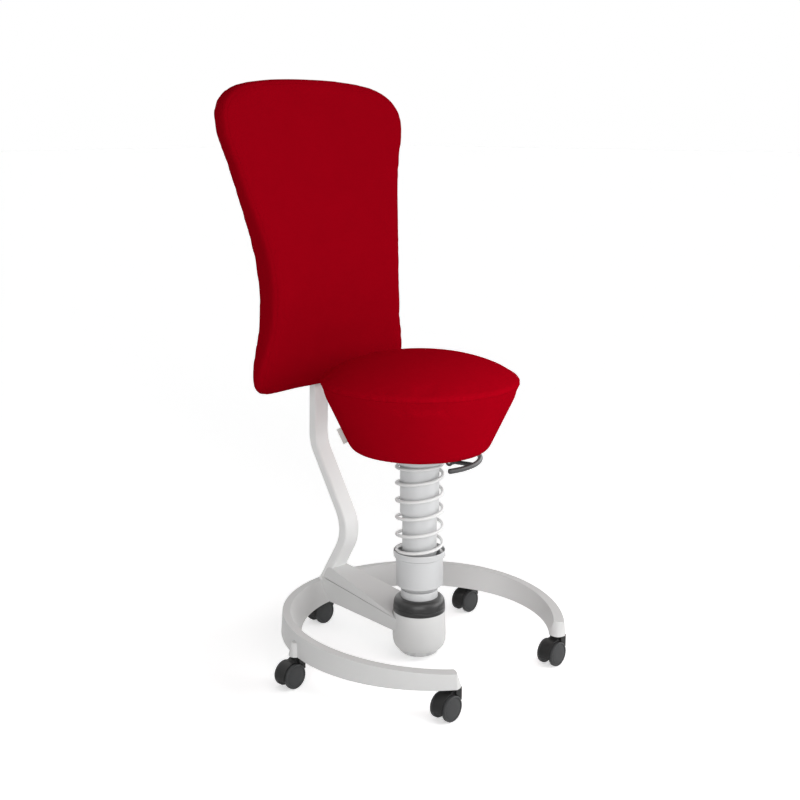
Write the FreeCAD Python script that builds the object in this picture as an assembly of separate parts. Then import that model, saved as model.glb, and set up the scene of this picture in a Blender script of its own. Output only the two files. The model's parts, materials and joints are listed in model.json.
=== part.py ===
import FreeCAD, Part
import math
import os
from FreeCAD import Vector

# Wobble stool with a backrest. An open foot ring on five castors carries a hub at its
# centre. The sprung column leans in the hub on a gimbal, the round seat lifts and swivels
# on the column, and a bent stem on the ring's arm holds the backrest.
# Millimetres, Z up, origin on the floor under the column. The sitter faces -Y.

# Clearances
fit = 0.05                    # radial, pins and shafts in their bores
gap = 0.3                     # between faces that pass or stand beside each other
run = 1.0                     # between tubes that telescope

# Castors
castor_count = 5
castor_circle = 281.0         # radius of the circle of the castor stems
castor_height = 60.0          # floor to the underside of the foot ring
castor_trail = 14.5           # axle behind the stem
wheel_radius = 25.0
wheel_width = 15.0
wheel_track = 23.5            # between the middles of a pair of wheels
wheel_edge = 2.5              # rounding of the tread
wheel_disc = 20.5             # radius of the groove round the wheel's plain disc
wheel_groove = 0.9
wheel_cap = 3.0               # closes the bore on the outside
axle_radius = 3.0
stem_pin_radius = 5.0
stem_pin_rise = 24.0          # length of the castor stem inside the ring
stem_pin_grip = 12.0          # and inside its housing
sleeve_wall = 1.5
hood_wall = 1.8
hood_foot = 31.0              # lower edge of the hood behind the wheels
web_radius = 17.5
housing_half = 14.0           # block of the housing round the stem
housing_reach = 13.0
housing_foot = 38.0
housing_round = 3.0

# Foot ring, an oval that is open at the front
ring_semi_y = 293.5           # top outer edge
ring_semi_x = 280.3
ring_shift = 9.0              # centre of the oval in front of the column
ring_top_width = 17.2
ring_flare_out = 3.5          # draft of the outer wall
ring_flare_in = 13.5          # draft of the inner wall
ring_rear_web = 13.5          # the inner wall's foot is broader by this at the rear
ring_height = 44.3
ring_front_drop = 14.0        # the top falls towards the open ends
ring_rear_drop = 1.9
ring_end_past = 1.4           # degrees by which the ring's ends reach past their castors
ring_end_bulge = 2.0          # rounding of the ends at the top
ring_end_foot = 12.0          # and at the bottom
boss_radius = 10.5            # half-round pads on the ring over the side castors
boss_draft = 3.0
boss_drop = 16.0

# Arm from the ring to the hub, and the seam on which the backrest stem stands
arm_rear = 262.0
arm_rear_half = 24.7
arm_bottom = 61.5
seam_z = 92.0                 # height of the seam at seam_y
seam_y = 55.0
seam_slope = 0.0931

# Hub
hub_radius = 54.0
hub_top = 101.4
hub_wall_foot = 52.4
hub_foot_radius = 45.0
hub_bottom = 31.7
hub_floor = 44.0
hub_bore = 45.0
hub_lower_bore = 40.0
hub_ledge = 70.0
hub_rim_wall = 2.7
hub_rim_depth = 10.0

# Gimbal
pivot_rise = 6.6              # lean centre above the hub's rim
post_width = 12.0
post_wall = 5.0
yoke_base = 6.0
yoke_hole = 24.0
gimbal_radius = 38.0
gimbal_wall = 8.5
gimbal_height = 14.0
gimbal_pin = 3.0
block_radius = 27.0
block_height = 16.0
stub_radius = 10.0
stub_length = 50.0
buffer_bore = 21.0
buffer_height = 20.0
plate_wall = 3.0

# Sway knob under the hub
knob_radius = 42.0
knob_foot_radius = 30.0
knob_height = 16.7
knob_rim = 7.0
knob_shank = 8.0
knob_bulge = 0.3              # share of the way at the middle of the foot's curve
knob_notches = 8
knob_notch = 7.0
knob_notch_out = 4.2          # middle of a notch outside the knob's edge

# Boot over the gimbal
boot_ball = 50.9              # radius of the boot's rim about the lean centre
boot_wall = 4.4
boot_rise = 30.3              # top of the boot above the hub's rim
boot_skirt = 5.0              # rim of the boot below the lean centre
boot_in = 0.28                # shares of the way in and up at the middle of its shoulder
boot_up = 0.58
lip_height = 10.1
lip_outer = 53.5
lip_groove = 0.9
lip_groove_rise = 7.3

# Neck and spring cup
neck_radius = 34.7
neck_height = 15.5
collar_radius = 30.0
collar_height = 7.7
shaft_radius = 18.0
spigot_radius = 20.0
cup_radius = 48.2
cup_chamfer = 11.3
cup_body = 70.6               # neck to the foot of the lip
cup_height = 84.1
cup_wall = 4.2
cup_floor = 18.0
lip_radius = 53.0
lip_wall = 1.7
spring_pocket = 12.8
guide_plug_height = 6.0

# Coil spring
wire = 6.8
coil_outer = 50.1
coil_turns = 6.0
coil_ease = 0.9               # turns over which each end is closed
coil_end_pitch = 8.0
coil_start = -48.3            # degrees
spring_length = 198.5

# Telescoping column
guide_radius = 35.2
guide_wall = 3.5
sleeve_radius = 39.8
sleeve_length = 106.0
tube_wall = 2.4
stand_radius = 25.0
bounce_travel = 45.0
lift_travel = 95.0
spring_plate_radius = 50.5
spring_plate_wall = 6.0
bush_flange = 3.0
bush_length = 40.0
gas_radius = 14.0
gas_wall = 2.0
gas_cap = 8.0
rod_radius = 5.0
anchor_wall = 6.0

# Seat
seat_hub_radius = 24.0
seat_hub_height = 36.0
seat_flange_radius = 58.0
seat_flange_wall = 6.0
seat_taper_depth = 30.0
pan_wall = 4.0
pan_cavity = 62.0
pan_top_radius = 150.0
pan_top_wall = 8.0
pan_foot_radius = 112.0
pan_foot_wall = 6.0
seat_rim_rise = 17.0          # rim of the seat above the pan's underside
seat_rim_radius = 200.0
seat_rim_round = 8.0
seat_rim_middle = (-1.6, 0.8) # middle of the rounding, from the rim's corner
seat_depth = 143.5            # rim to underside
seat_slope = 0.455            # inward run of the side per millimetre down
seat_foot_round = 21.0
seat_crown = 50.0
seat_crown_power = 2.5

# Release lever
lever_radius = 5.2
lever_arm_radius = 4.3
lever_drop = 16.5             # rod's middle below the seat's underside
lever_reach = 121.0
lever_span = 34.0             # degrees each side of its arm
lever_turn = 13.0             # degrees from the front, towards the sitter's left
lever_pivot = 70.0
lever_tail = 13.0
lever_pin = 2.5
bracket_wall = 3.0
bracket_length = 16.0
cable_radius = 1.8
cable_bend = 12.0

# Backrest stem
stem_thickness = 16.0
stem_front = [(235.2, 136.5), (189.0, 243.0), (283.0, 424.5), (286.4, 524.8)]
stem_half = [23.3, 18.1, 17.0, 18.0]
stem_bend = 56.0
stem_sink = 0.6               # share of the foot's height that the bar reaches down into it
wedge_rise = 0.214            # slope of the foot's top
wedge_rear = 258.0

# Backrest
back_bottom = 542.0
back_top = 1162.0
back_side = [(110.0, 1158.0), (192.0, 1144.0), (236.0, 1114.0), (246.5, 1068.0),
             (228.0, 1000.0), (203.0, 902.0), (187.0, 825.0), (181.0, 755.0), (185.5, 678.0),
             (199.0, 620.0), (205.5, 580.0), (195.0, 552.0), (165.0, 543.5), (80.0, 542.5)]
back_wrap = 16.0              # the middle lies behind the edges
back_wrap_half = 210.0
back_front = [(243.0, 540.0), (229.0, 601.0), (216.5, 678.0), (213.0, 750.0),
              (223.0, 836.0), (256.0, 963.0), (281.0, 1088.0), (298.0, 1175.0)]
back_rear = [(264.0, 540.0), (265.0, 640.0), (265.0, 720.0), (270.5, 810.0),
             (295.0, 963.0), (318.0, 1088.0), (335.0, 1175.0)]
rear_pad = 9.0
shell_wall = 8.0
shell_inset = 14.0
back_edge_round = 7.0
bracket_plate = 4.0
bracket_half = 60.0
bracket_rise = 46.0           # bracket above the lower edge of the backrest
bracket_height = 108.0        # up to the top of the stem
back_screw_x = 45.0
back_screw_margin = 17.0

# Screws
screw_m8 = 4.0                # shank radii
screw_m6 = 3.0
screw_head = 1.6              # head radius as a multiple of the shank
screw_head_height = 4.5
stem_screw_y = [120.0, 200.0]
seat_screw_circle = 48.0

# Heights that follow from the sizes above
ring_top = castor_height + ring_height
pivot_z = hub_top + pivot_rise
boot_top = hub_top + boot_rise
neck_top = boot_top + neck_height
cup_top = neck_top + cup_height
spring_seat = cup_top - spring_pocket
plate_bottom = spring_seat + spring_length
plate_top = plate_bottom + spring_plate_wall
plug_bottom = neck_top + cup_floor + run
plug_top = plug_bottom + guide_plug_height
guide_top = plate_bottom - bounce_travel - bush_flange - 2 * run
stand_bottom = plug_top + bounce_travel + 4 * run
stand_top = plate_top + bush_flange + 4 * run
anchor_top = stand_bottom + anchor_wall
lift_bush_top = stand_top + bush_flange
seat_hub_bottom = lift_bush_top + lift_travel + 4 * run
pan_under = seat_hub_bottom + seat_hub_height
seat_rim_z = pan_under + seat_rim_rise
seat_bottom = seat_rim_z - seat_depth
gas_top = seat_hub_bottom + seat_taper_depth
gas_bottom = anchor_top + lift_travel + 10 * run
lever_z = seat_bottom - lever_drop
pan_foot_z = seat_bottom - run
bracket_low = back_bottom + bracket_rise
stem_top = bracket_low + bracket_height


def export(name, shape):
    shape.exportStep("parts/" + name + ".step")


def turned(first, *steps):
    """Solid of revolution about Z. A step is a point (r, z), or a pair (middle, end) for an arc."""
    here = Vector(first[0], 0, first[1])
    edges = []
    for step in list(steps) + [first]:
        if isinstance(step[0], tuple):
            middle, end = [Vector(r, 0, z) for r, z in step]
            edges.append(Part.Arc(here, middle, end).toShape())
        else:
            end = Vector(step[0], 0, step[1])
            if end.isEqual(here, 1e-7):
                continue
            edges.append(Part.LineSegment(here, end).toShape())
        here = end
    return Part.Face(Part.Wire(edges)).revolve(Vector(), Vector(0, 0, 1), 360)


def tube(outer, inner, bottom, top):
    return turned((inner, bottom), (outer, bottom), (outer, top), (inner, top))


def disc(radius, bottom, top):
    return Part.makeCylinder(radius, top - bottom, Vector(0, 0, bottom))


def bar(start, end, radius):
    a = Vector(*start)
    along = Vector(*end) - a
    return Part.makeCylinder(radius, along.Length, a, along)


def prism(points, direction):
    corners = [Vector(*p) for p in points]
    return Part.Face(Part.makePolygon(corners + corners[:1])).extrude(Vector(*direction))


def spline(points):
    curve = Part.BSplineCurve()
    curve.interpolate(points)
    return curve.toShape()


def turn_z(shape, degrees):
    out = shape.copy()
    out.rotate(Vector(), Vector(0, 0, 1), degrees)
    return out


def group(shapes):
    return Part.makeCompound(shapes)


# Castors

def castor_places():
    """Stem positions, the first pair at the ring's ends and the last at the rear."""
    step = 360.0 / castor_count
    places = []
    for i in range(castor_count):
        angle = math.radians(step / 2 + i * step)
        places.append((castor_circle * math.sin(angle), -castor_circle * math.cos(angle)))
    return places


def at_axle(shape, y):
    """Moves a solid turned about Z onto the axle of a castor whose stem is at the origin."""
    out = shape.copy()
    out.rotate(Vector(), Vector(1, 0, 0), 90)
    out.translate(Vector(-castor_trail, y, wheel_radius))
    return out


def castor_wheel(side):
    """Wheel with a rounded tread and a plain disc inside a groove. Its bore is closed outside."""
    half = wheel_width / 2
    flat = wheel_radius - wheel_edge
    bevel = wheel_edge * (1 - math.sqrt(0.5))
    bore, end = axle_radius + fit, half - wheel_cap
    solid = turned((bore, -half), (flat, -half),
                   ((wheel_radius - bevel, -half + bevel), (wheel_radius, -half + wheel_edge)),
                   (wheel_radius, half - wheel_edge),
                   ((wheel_radius - bevel, half - bevel), (flat, half)),
                   (wheel_disc + wheel_groove, half), (wheel_disc, half - wheel_groove),
                   (wheel_disc - wheel_groove, half), (0, half), (0, end), (bore, end))
    if side > 0:
        solid.rotate(Vector(), Vector(1, 0, 0), 180)
    return at_axle(solid, side * wheel_track / 2)


def castor_housing():
    """Hood over both wheels, a web between them and a block that holds the stem."""
    web = (wheel_track - wheel_width) / 2 - 2 * gap
    inner = wheel_radius + 2 * gap
    outer = inner + hood_wall
    half = (wheel_track + wheel_width) / 2 - wheel_edge
    top = castor_height - gap
    hood = at_axle(tube(outer, inner, -half, half), 0)
    below = Part.makeBox(4 * outer, 4 * half, hood_foot + outer,
                         Vector(-castor_trail - 2 * outer, -2 * half, -outer))
    block = Part.makeBox(castor_trail + housing_reach, 2 * housing_half, top - housing_foot,
                         Vector(-castor_trail, -housing_half, housing_foot))
    upright = [e for e in block.Edges if abs(e.tangentAt(e.FirstParameter).z) > 0.9]
    block = block.makeFillet(housing_round, upright)
    middle = at_axle(disc(web_radius, -web, web), 0)
    bridge = Part.makeBox(castor_trail + housing_reach, 2 * web, top - wheel_radius,
                          Vector(-castor_trail, -web, wheel_radius))
    body = hood.cut(below).fuse([block, middle, bridge]).removeSplitter()
    for low, high in ((web, 2 * half), (-2 * half, -web)):
        body = body.cut(at_axle(disc(inner, low, high), 0))
    body = body.cut(disc(stem_pin_radius + fit, castor_height - stem_pin_grip - gap, castor_height))
    return body.cut(at_axle(disc(axle_radius + fit, -2 * half, 2 * half), 0))


def castor_pins():
    half = (wheel_track + wheel_width) / 2 - wheel_cap - gap
    stem = disc(stem_pin_radius, castor_height - stem_pin_grip, castor_height + stem_pin_rise - run)
    return group([stem, at_axle(disc(axle_radius, -half, half), 0)])


def build_castors():
    pieces = {"housing": castor_housing(), "pins": castor_pins(),
              "wheel_a": castor_wheel(-1), "wheel_b": castor_wheel(1)}
    for i, (x, y) in enumerate(castor_places()):
        for name, shape in pieces.items():
            placed = shape.copy()
            placed.translate(Vector(x, y, 0))
            export("castor_%d_%s" % (i + 1, name), placed)
    sleeves = []
    for x, y in castor_places():
        sleeve = tube(stem_pin_radius + fit + sleeve_wall, stem_pin_radius + fit, castor_height,
                      castor_height + stem_pin_rise)
        sleeve.translate(Vector(x, y, 0))
        sleeves.append(sleeve)
    export("castor_sleeves", group(sleeves))


# Foot ring with its arm and hub

def oval(grow, z, rear_web=0):
    """Closed oval at a height, grown outwards from the ring's top outer edge."""
    centre = Vector(0, -ring_shift - rear_web / 2, z)
    edge = Part.Ellipse(centre + Vector(0, ring_semi_y + grow - rear_web / 2, 0),
                        centre + Vector(ring_semi_x + grow, 0, 0), centre).toShape()
    return Part.Wire(edge)


def oval_reach(grow, angle, rear_web=0):
    """Distance from the column to an oval, along a direction measured from the front."""
    a, b = ring_semi_y + grow - rear_web / 2, ring_semi_x + grow
    shift = ring_shift + rear_web / 2
    c, s = math.cos(angle), math.sin(angle)
    k = (c / a) ** 2 + (s / b) ** 2
    h = c * shift / a ** 2
    return (h + math.sqrt(h * h + k * (1 - (shift / a) ** 2))) / k


def ring_walls():
    outer = Part.makeLoft([oval(ring_flare_out, castor_height), oval(0, ring_top)], True, True)
    inner = Part.makeLoft([oval(-ring_top_width - ring_flare_in, castor_height, ring_rear_web),
                           oval(-ring_top_width, ring_top)], True, True)
    return outer.cut(inner)


def ring_end(angle):
    """End of the ring by its first castor, nearly flat at the top and half-round at the bottom."""
    side = -1 if angle > 0 else 1
    ahead = Vector(side * math.cos(angle), side * math.sin(angle), 0)
    foot = (castor_height, ring_flare_out, -ring_top_width - ring_flare_in, ring_rear_web, ring_end_foot)
    head = (ring_top, 0, -ring_top_width, 0, ring_end_bulge)
    rings = []
    for z, out, inn, web, bulge in (foot, head):
        reaches = (oval_reach(out, angle) - fit, oval_reach(inn, angle, web) + fit)
        far, near = [Vector(r * math.sin(angle), -r * math.cos(angle), z) for r in reaches]
        back = [p - ahead * ring_end_bulge for p in (near, far)]
        arc = Part.Arc(far, (far + near) * 0.5 + ahead * bulge, near).toShape()
        corners = [near] + back + [far]
        lines = [Part.LineSegment(p, q).toShape() for p, q in zip(corners, corners[1:])]
        rings.append(Part.Wire([arc] + lines))
    return Part.makeLoft(rings, True, True)


def above_ring():
    """Everything over the ring's top, which falls a little to the rear and more to the front."""
    half = 2 * ring_semi_x
    rear, front = ring_semi_y - ring_shift, -ring_semi_y * math.cos(math.pi / castor_count)
    arc_ends = [Vector(-half, rear, ring_top - ring_rear_drop),
                Vector(-half, front, ring_top - ring_front_drop)]
    low = Part.Arc(arc_ends[0], Vector(-half, 0, ring_top), arc_ends[1]).toShape()
    ends = [Vector(-half, 2 * rear, ring_top - ring_rear_drop),
            Vector(-half, 2 * rear, 2 * ring_top), Vector(-half, 2 * front, 2 * ring_top),
            Vector(-half, 2 * front, ring_top - ring_front_drop)]
    path = [arc_ends[0]] + ends + [arc_ends[1]]
    edges = [Part.LineSegment(a, b).toShape() for a, b in zip(path, path[1:])]
    return Part.Face(Part.Wire([low] + edges)).extrude(Vector(2 * half, 0, 0))


def seam_height(y):
    return seam_z + seam_slope * (y - seam_y)


def arm_half(y):
    """Half-width of the arm in plan: straight sides that run tangent into the hub."""
    lean = (hub_radius - arm_rear_half) / arm_rear
    return hub_radius - lean * y


def arm_solid():
    rise = 2 * ring_top
    sides = ((-1, arm_rear), (1, arm_rear), (1, 0), (-1, 0))
    plan = prism([(s * arm_half(y), y, arm_bottom) for s, y in sides], (0, 0, rise))
    wide = 2 * hub_radius
    front, rear = -arm_rear, 2 * arm_rear
    over = prism([(-wide, front, seam_height(front)), (-wide, rear, seam_height(rear)),
                  (-wide, rear, 2 * rise), (-wide, front, 2 * rise)], (2 * wide, 0, 0))
    return plan.cut(over)


def hub_outside():
    drop = hub_wall_foot - hub_bottom
    side = hub_radius - hub_foot_radius
    bend = (hub_foot_radius + side * math.sqrt(0.5), hub_wall_foot - drop * math.sqrt(0.5))
    return turned((0, hub_bottom), (hub_foot_radius, hub_bottom),
                  (bend, (hub_radius, hub_wall_foot)), (hub_radius, hub_top), (0, hub_top))


def hub_inside():
    rim = hub_radius - hub_rim_wall
    return turned((0, hub_floor), (hub_lower_bore, hub_floor), (hub_lower_bore, hub_ledge),
                  (hub_bore, hub_ledge), (hub_bore, hub_top - hub_rim_depth),
                  (rim, hub_top - hub_rim_depth), (rim, hub_top + run), (0, hub_top + run))


def foot_ring():
    ends = math.pi / castor_count - math.radians(ring_end_past)
    far = 2 * ring_semi_y
    opening = prism([(0, 0, 0), (far * math.sin(ends), -far * math.cos(ends), 0),
                     (-far * math.sin(ends), -far * math.cos(ends), 0)], (0, 0, 2 * ring_top))
    ring = ring_walls().cut(opening).fuse([ring_end(ends), ring_end(-ends)])
    for x, y in castor_places()[1:-1]:
        pad = Part.makeCone(boss_radius, boss_radius - boss_draft, ring_height - boss_drop,
                            Vector(x, y, castor_height))
        ring = ring.fuse(pad)
    ring = ring.cut(above_ring())
    body = ring.fuse([arm_solid(), hub_outside()]).cut(hub_inside())
    body = body.cut(disc(knob_shank + gap, 0, hub_floor + run))
    for x, y in castor_places():
        hole = disc(stem_pin_radius + sleeve_wall + 2 * fit, 0, castor_height + stem_pin_rise + run)
        hole.translate(Vector(x, y, 0))
        body = body.cut(hole)
    for y in stem_screw_y:
        body = body.cut(bar((0, y, 0), (0, y, 2 * ring_top), screw_m8 + fit))
        head = screw_m8 * screw_head + gap
        body = body.cut(bar((0, y, 0), (0, y, arm_bottom + 2 * screw_head_height), head))
    return body


# Backrest stem, with the wedge-shaped foot that lies on the arm

def wedge_top(y):
    return stem_front[0][1] - wedge_rise * (stem_front[0][0] - y)


def wedge():
    """Foot of the stem, a wedge that covers the arm and is hollowed round the hub."""
    slim = arm_half(stem_front[0][0]) - stem_half[0]
    rear = wedge_rear - stem_thickness / 2
    low = [Vector(s * arm_half(y), y, seam_height(y)) for s, y in
           ((-1, wedge_rear), (1, wedge_rear), (1, 0), (-1, 0))]
    high = [Vector(s * (arm_half(y) - slim), y, wedge_top(y)) for s, y in
            ((-1, rear), (1, rear), (1, 0), (-1, 0))]
    loops = [Part.makePolygon(ring + ring[:1]) for ring in (low, high)]
    return Part.makeLoft(loops, True, True).cut(disc(hub_radius + gap, 0, 2 * ring_top))


def offset_line(points, distance):
    """Points of a polyline moved sideways by a distance, mitred at the bends."""
    out = []
    for i, (y, z) in enumerate(points):
        normals = []
        for a, b in ((i - 1, i), (i, i + 1)):
            if a >= 0 and b < len(points):
                dy, dz = points[b][0] - points[a][0], points[b][1] - points[a][1]
                size = math.hypot(dy, dz)
                normals.append((dz / size, -dy / size))
        ny = sum(n[0] for n in normals) / len(normals)
        nz = sum(n[1] for n in normals) / len(normals)
        scale = distance / (ny * ny + nz * nz)
        out.append((y + ny * scale, z + nz * scale))
    return out


def stem_bar():
    front = list(stem_front) + [(stem_front[-1][0], stem_top)]
    (y0, z0), (y1, z1) = front[0], front[1]
    sink = (z0 - seam_height(y0)) * stem_sink / (z1 - z0)
    front[0] = (y0 - (y1 - y0) * sink, z0 - (z1 - z0) * sink)
    rear = offset_line(front, stem_thickness)
    wide = 2 * max(stem_half)
    side = prism([(-wide, y, z) for y, z in front + rear[::-1]], (2 * wide, 0, 0))
    corners = front[1:-1] + rear[1:-1]
    bends = [e for e in side.Edges if any(
        abs(e.CenterOfMass.y - y) < 1e-3 and abs(e.CenterOfMass.z - z) < 1e-3 for y, z in corners)]
    side = side.makeFillet(stem_bend, bends)
    heights = [z for y, z in stem_front]
    right = [(stem_half[0], 0, 0)] + [(h, 0, z) for h, z in zip(stem_half, heights)]
    right.append((stem_half[-1], 0, stem_top))
    rows = right + [(-x, 0, z) for x, _, z in right[::-1]]
    outline = prism(rows, (0, 2 * stem_front[-1][0], 0))
    return side.common(outline)


def backrest_stem():
    body = stem_bar().fuse(wedge()).removeSplitter()
    for y in stem_screw_y:
        body = body.cut(bar((0, y, 0), (0, y, wedge_top(y) - run), screw_m8 + fit))
    for z in stem_bolt_heights():
        body = body.cut(bar((0, 0, z), (0, 2 * stem_front[-1][0], z), screw_m8 + fit))
    return body


def stem_screws():
    screws = []
    for y in stem_screw_y:
        top_of_head = arm_bottom + 2 * screw_head_height
        head = bar((0, y, arm_bottom + run), (0, y, top_of_head), screw_m8 * screw_head)
        shank = bar((0, y, top_of_head), (0, y, wedge_top(y) - 2 * run), screw_m8)
        screws.append(head.fuse(shank))
    return group(screws)


# Backrest

def stem_bolt_heights():
    inside = back_screw_margin * 2
    return [bracket_low + inside, stem_top - inside]


def wrap(x):
    return back_wrap * (1 - (x / back_wrap_half) ** 2)


def slab(near, near_shift, far, far_shift):
    """Curved layer between two side profiles, swept across the width along the wrap."""
    half = max(x for x, z in back_side) + 2 * shell_inset
    loops = []
    for x in (-half, -half / 2, 0, half / 2, half):
        a = [Vector(x, y + near_shift + wrap(x), z) for y, z in near]
        b = [Vector(x, y + far_shift + wrap(x), z) for y, z in far]
        loops.append(Part.Wire([spline(a), Part.LineSegment(a[-1], b[-1]).toShape(),
                                spline(b[::-1]), Part.LineSegment(b[0], a[0]).toShape()]))
    return Part.makeLoft(loops, True, False)


def back_outline(inset):
    """Front view of the backrest as a tall prism: arched top, narrow waist, round hips."""
    middle = (back_top + back_bottom) / 2
    squeeze = 1 - 2 * inset / (back_top - back_bottom)
    right = [(x - inset, middle + (z - middle) * squeeze) for x, z in back_side]
    loop = [(0, back_top - inset)] + right + [(0, back_bottom + inset)]
    loop += [(-x, z) for x, z in right[::-1]]
    curve = Part.BSplineCurve()
    curve.interpolate([Vector(x, 0, z) for x, z in loop], PeriodicFlag=True)
    return Part.Face(Part.Wire(curve.toShape())).extrude(Vector(0, 2 * back_rear[-1][0], 0))


def back_layers():
    """Front cushion, stiff shell and rear pad, one behind the other."""
    shell_rear = -rear_pad - gap
    shell_front = shell_rear - shell_wall
    cushion = slab(back_front, 0, back_rear, shell_front - gap).common(back_outline(0))
    shell = slab(back_rear, shell_front, back_rear, shell_rear).common(back_outline(shell_inset))
    rear = slab(back_rear, -rear_pad, back_rear, 0).common(back_outline(0))
    front_edges = [e for e in cushion.Edges if on_front(e)]
    cushion = cushion.makeFillet(back_edge_round, front_edges)
    return cushion, shell, rear


def on_front(edge):
    """True for the edges round the front face, which lie ahead of the middle of the side wall."""
    middle = edge.CenterOfMass
    front = side_at(back_front, middle.z) + wrap(middle.x)
    rear = side_at(back_rear, middle.z) + wrap(middle.x) - rear_pad - shell_wall
    return middle.y < (front + rear) / 2


def side_at(profile, z):
    for (y0, z0), (y1, z1) in zip(profile, profile[1:]):
        if z0 <= z <= z1:
            return y0 + (y1 - y0) * (z - z0) / (z1 - z0)
    return profile[0][0] if z < profile[0][1] else profile[-1][0]


def bracket_face():
    return stem_front[-1][0] - gap / 2


def back_screw_points():
    low, high = bracket_low + back_screw_margin, stem_top - back_screw_margin
    return [(s * back_screw_x, z) for s in (-1, 1) for z in (low, high)]


def back_bracket():
    rear = bracket_face()
    plate = Part.makeBox(2 * bracket_half, bracket_plate, stem_top - bracket_low,
                         Vector(-bracket_half, rear - bracket_plate, bracket_low))
    plate = plate.makeFillet(back_screw_margin / 2, [e for e in plate.Edges
                                                     if abs(e.tangentAt(e.FirstParameter).y) > 0.9])
    for x, z in back_screw_points():
        plate = plate.cut(bar((x, 0, z), (x, 2 * rear, z), screw_m6 + fit))
    for z in stem_bolt_heights():
        plate = plate.cut(bar((0, 0, z), (0, 2 * rear, z), screw_m8 + fit))
    return plate


def back_screws():
    rear = bracket_face()
    screws = []
    for x, z in back_screw_points():
        deep = side_at(back_rear, z) + wrap(x) - rear_pad - shell_wall
        head = bar((x, rear, z), (x, rear + screw_head_height, z), screw_m6 * screw_head)
        shank = bar((x, rear, z), (x, deep, z), screw_m6)
        screws.append(head.fuse(shank))
    stem_rear = stem_front[-1][0] + stem_thickness
    for z in stem_bolt_heights():
        head = bar((0, stem_rear, z), (0, stem_rear + screw_head_height, z), screw_m8 * screw_head)
        shank = bar((0, stem_rear, z), (0, rear - bracket_plate, z), screw_m8)
        screws.append(head.fuse(shank))
    return group(screws)


def build_backrest():
    cushion, shell, rear = back_layers()
    for x, z in back_screw_points():
        hole = bar((x, 0, z), (x, 2 * bracket_face(), z), screw_m6 + gap)
        rear = rear.cut(hole)
        shell = shell.cut(bar((x, 0, z), (x, 2 * bracket_face(), z), screw_m6 + fit))
    export("backrest_cushion", cushion)
    export("backrest_shell", shell)
    export("backrest_rear_pad", rear)
    export("back_bracket", back_bracket())
    export("back_screws", back_screws())


# Gimbal, boot and sway knob

def gimbal_yoke():
    ledge = hub_ledge
    outer = hub_bore - gap
    body = tube(outer, yoke_hole, ledge, ledge + yoke_base)
    reach = math.sqrt(outer ** 2 - (post_width / 2) ** 2)
    for s in (-1, 1):
        near = reach - post_wall
        post = prism([(-post_width / 2, s * near, ledge), (post_width / 2, s * near, ledge),
                      (post_width / 2, s * reach, ledge), (-post_width / 2, s * reach, ledge)],
                     (0, 0, pivot_z - ledge))
        eye = bar((0, s * near, pivot_z), (0, s * reach, pivot_z), post_width / 2)
        body = body.fuse([post, eye])
    body = body.removeSplitter()
    return body.cut(bar((0, -2 * reach, pivot_z), (0, 2 * reach, pivot_z), gimbal_pin + fit))


def gimbal_ring():
    half = gimbal_height / 2
    body = tube(gimbal_radius, gimbal_radius - gimbal_wall, pivot_z - half, pivot_z + half)
    far = 2 * gimbal_radius
    body = body.cut(bar((-far, 0, pivot_z), (far, 0, pivot_z), gimbal_pin + fit))
    return body.cut(bar((0, -far, pivot_z), (0, far, pivot_z), gimbal_pin + fit))


def gimbal_outer_pins():
    near = gimbal_radius - gimbal_wall + gap
    far = math.sqrt((hub_bore - gap) ** 2 - (post_width / 2) ** 2)
    return group([bar((0, s * near, pivot_z), (0, s * far, pivot_z), gimbal_pin) for s in (-1, 1)])


def gimbal_inner_pins():
    near = block_radius - 2 * gimbal_wall + gimbal_pin
    far = gimbal_radius - gap
    return group([bar((s * near, 0, pivot_z), (s * far, 0, pivot_z), gimbal_pin) for s in (-1, 1)])


def column_spigot():
    """Turned core of the column: stub, gimbal block, collar, neck and the plug of the guide tube."""
    low, high = pivot_z - block_height / 2, pivot_z + block_height / 2
    soft = block_height / 8
    foot, collar = pivot_z - stub_length, boot_top - collar_height
    plug = guide_radius - guide_wall - fit
    body = turned((0, foot), (stub_radius, foot), (stub_radius, low),
                  (block_radius - soft, low), (block_radius, low + soft), (block_radius, high - soft),
                  (block_radius - soft, high), (shaft_radius, high), (shaft_radius, collar),
                  (collar_radius, collar), (collar_radius, boot_top), (neck_radius, boot_top),
                  (neck_radius, neck_top), (spigot_radius, neck_top), (spigot_radius, plug_bottom),
                  (plug, plug_bottom), (plug, plug_top), (0, plug_top))
    inner = block_radius - 2 * gimbal_wall + gimbal_pin - fit
    for s in (-1, 1):
        far = 2 * s * block_radius
        body = body.cut(bar((s * inner, 0, pivot_z), (far, 0, pivot_z), gimbal_pin + fit))
    return body


def boot_dome():
    """Boot that rides on the neck. Its rim is part of a ball about the lean centre."""
    inner = boot_ball - boot_wall
    half = math.asin(pivot_rise / boot_ball)
    low = math.asin(boot_skirt / boot_ball)
    mean = (half - low) / 2

    def ball(radius, angle):
        return (radius * math.cos(angle), pivot_z + radius * math.sin(angle))

    crown = boot_top - boot_wall
    top_edge = neck_radius + run
    shoulder = ball(boot_ball, half)
    outer_mid = (shoulder[0] + (top_edge - shoulder[0]) * boot_in,
                 shoulder[1] + (boot_top - shoulder[1]) * boot_up)
    inner_mid = tuple(v - boot_wall * math.sqrt(0.5) for v in outer_mid)
    bore = collar_radius + fit
    return turned(ball(inner, -low), ball(boot_ball, -low),
                  (ball(boot_ball, mean), ball(boot_ball, half)),
                  (outer_mid, (top_edge, boot_top)), (bore, boot_top), (bore, crown),
                  (top_edge - boot_wall / 2, crown),
                  (inner_mid, ball(inner, half)), (ball(inner, mean), ball(inner, -low)))


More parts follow.
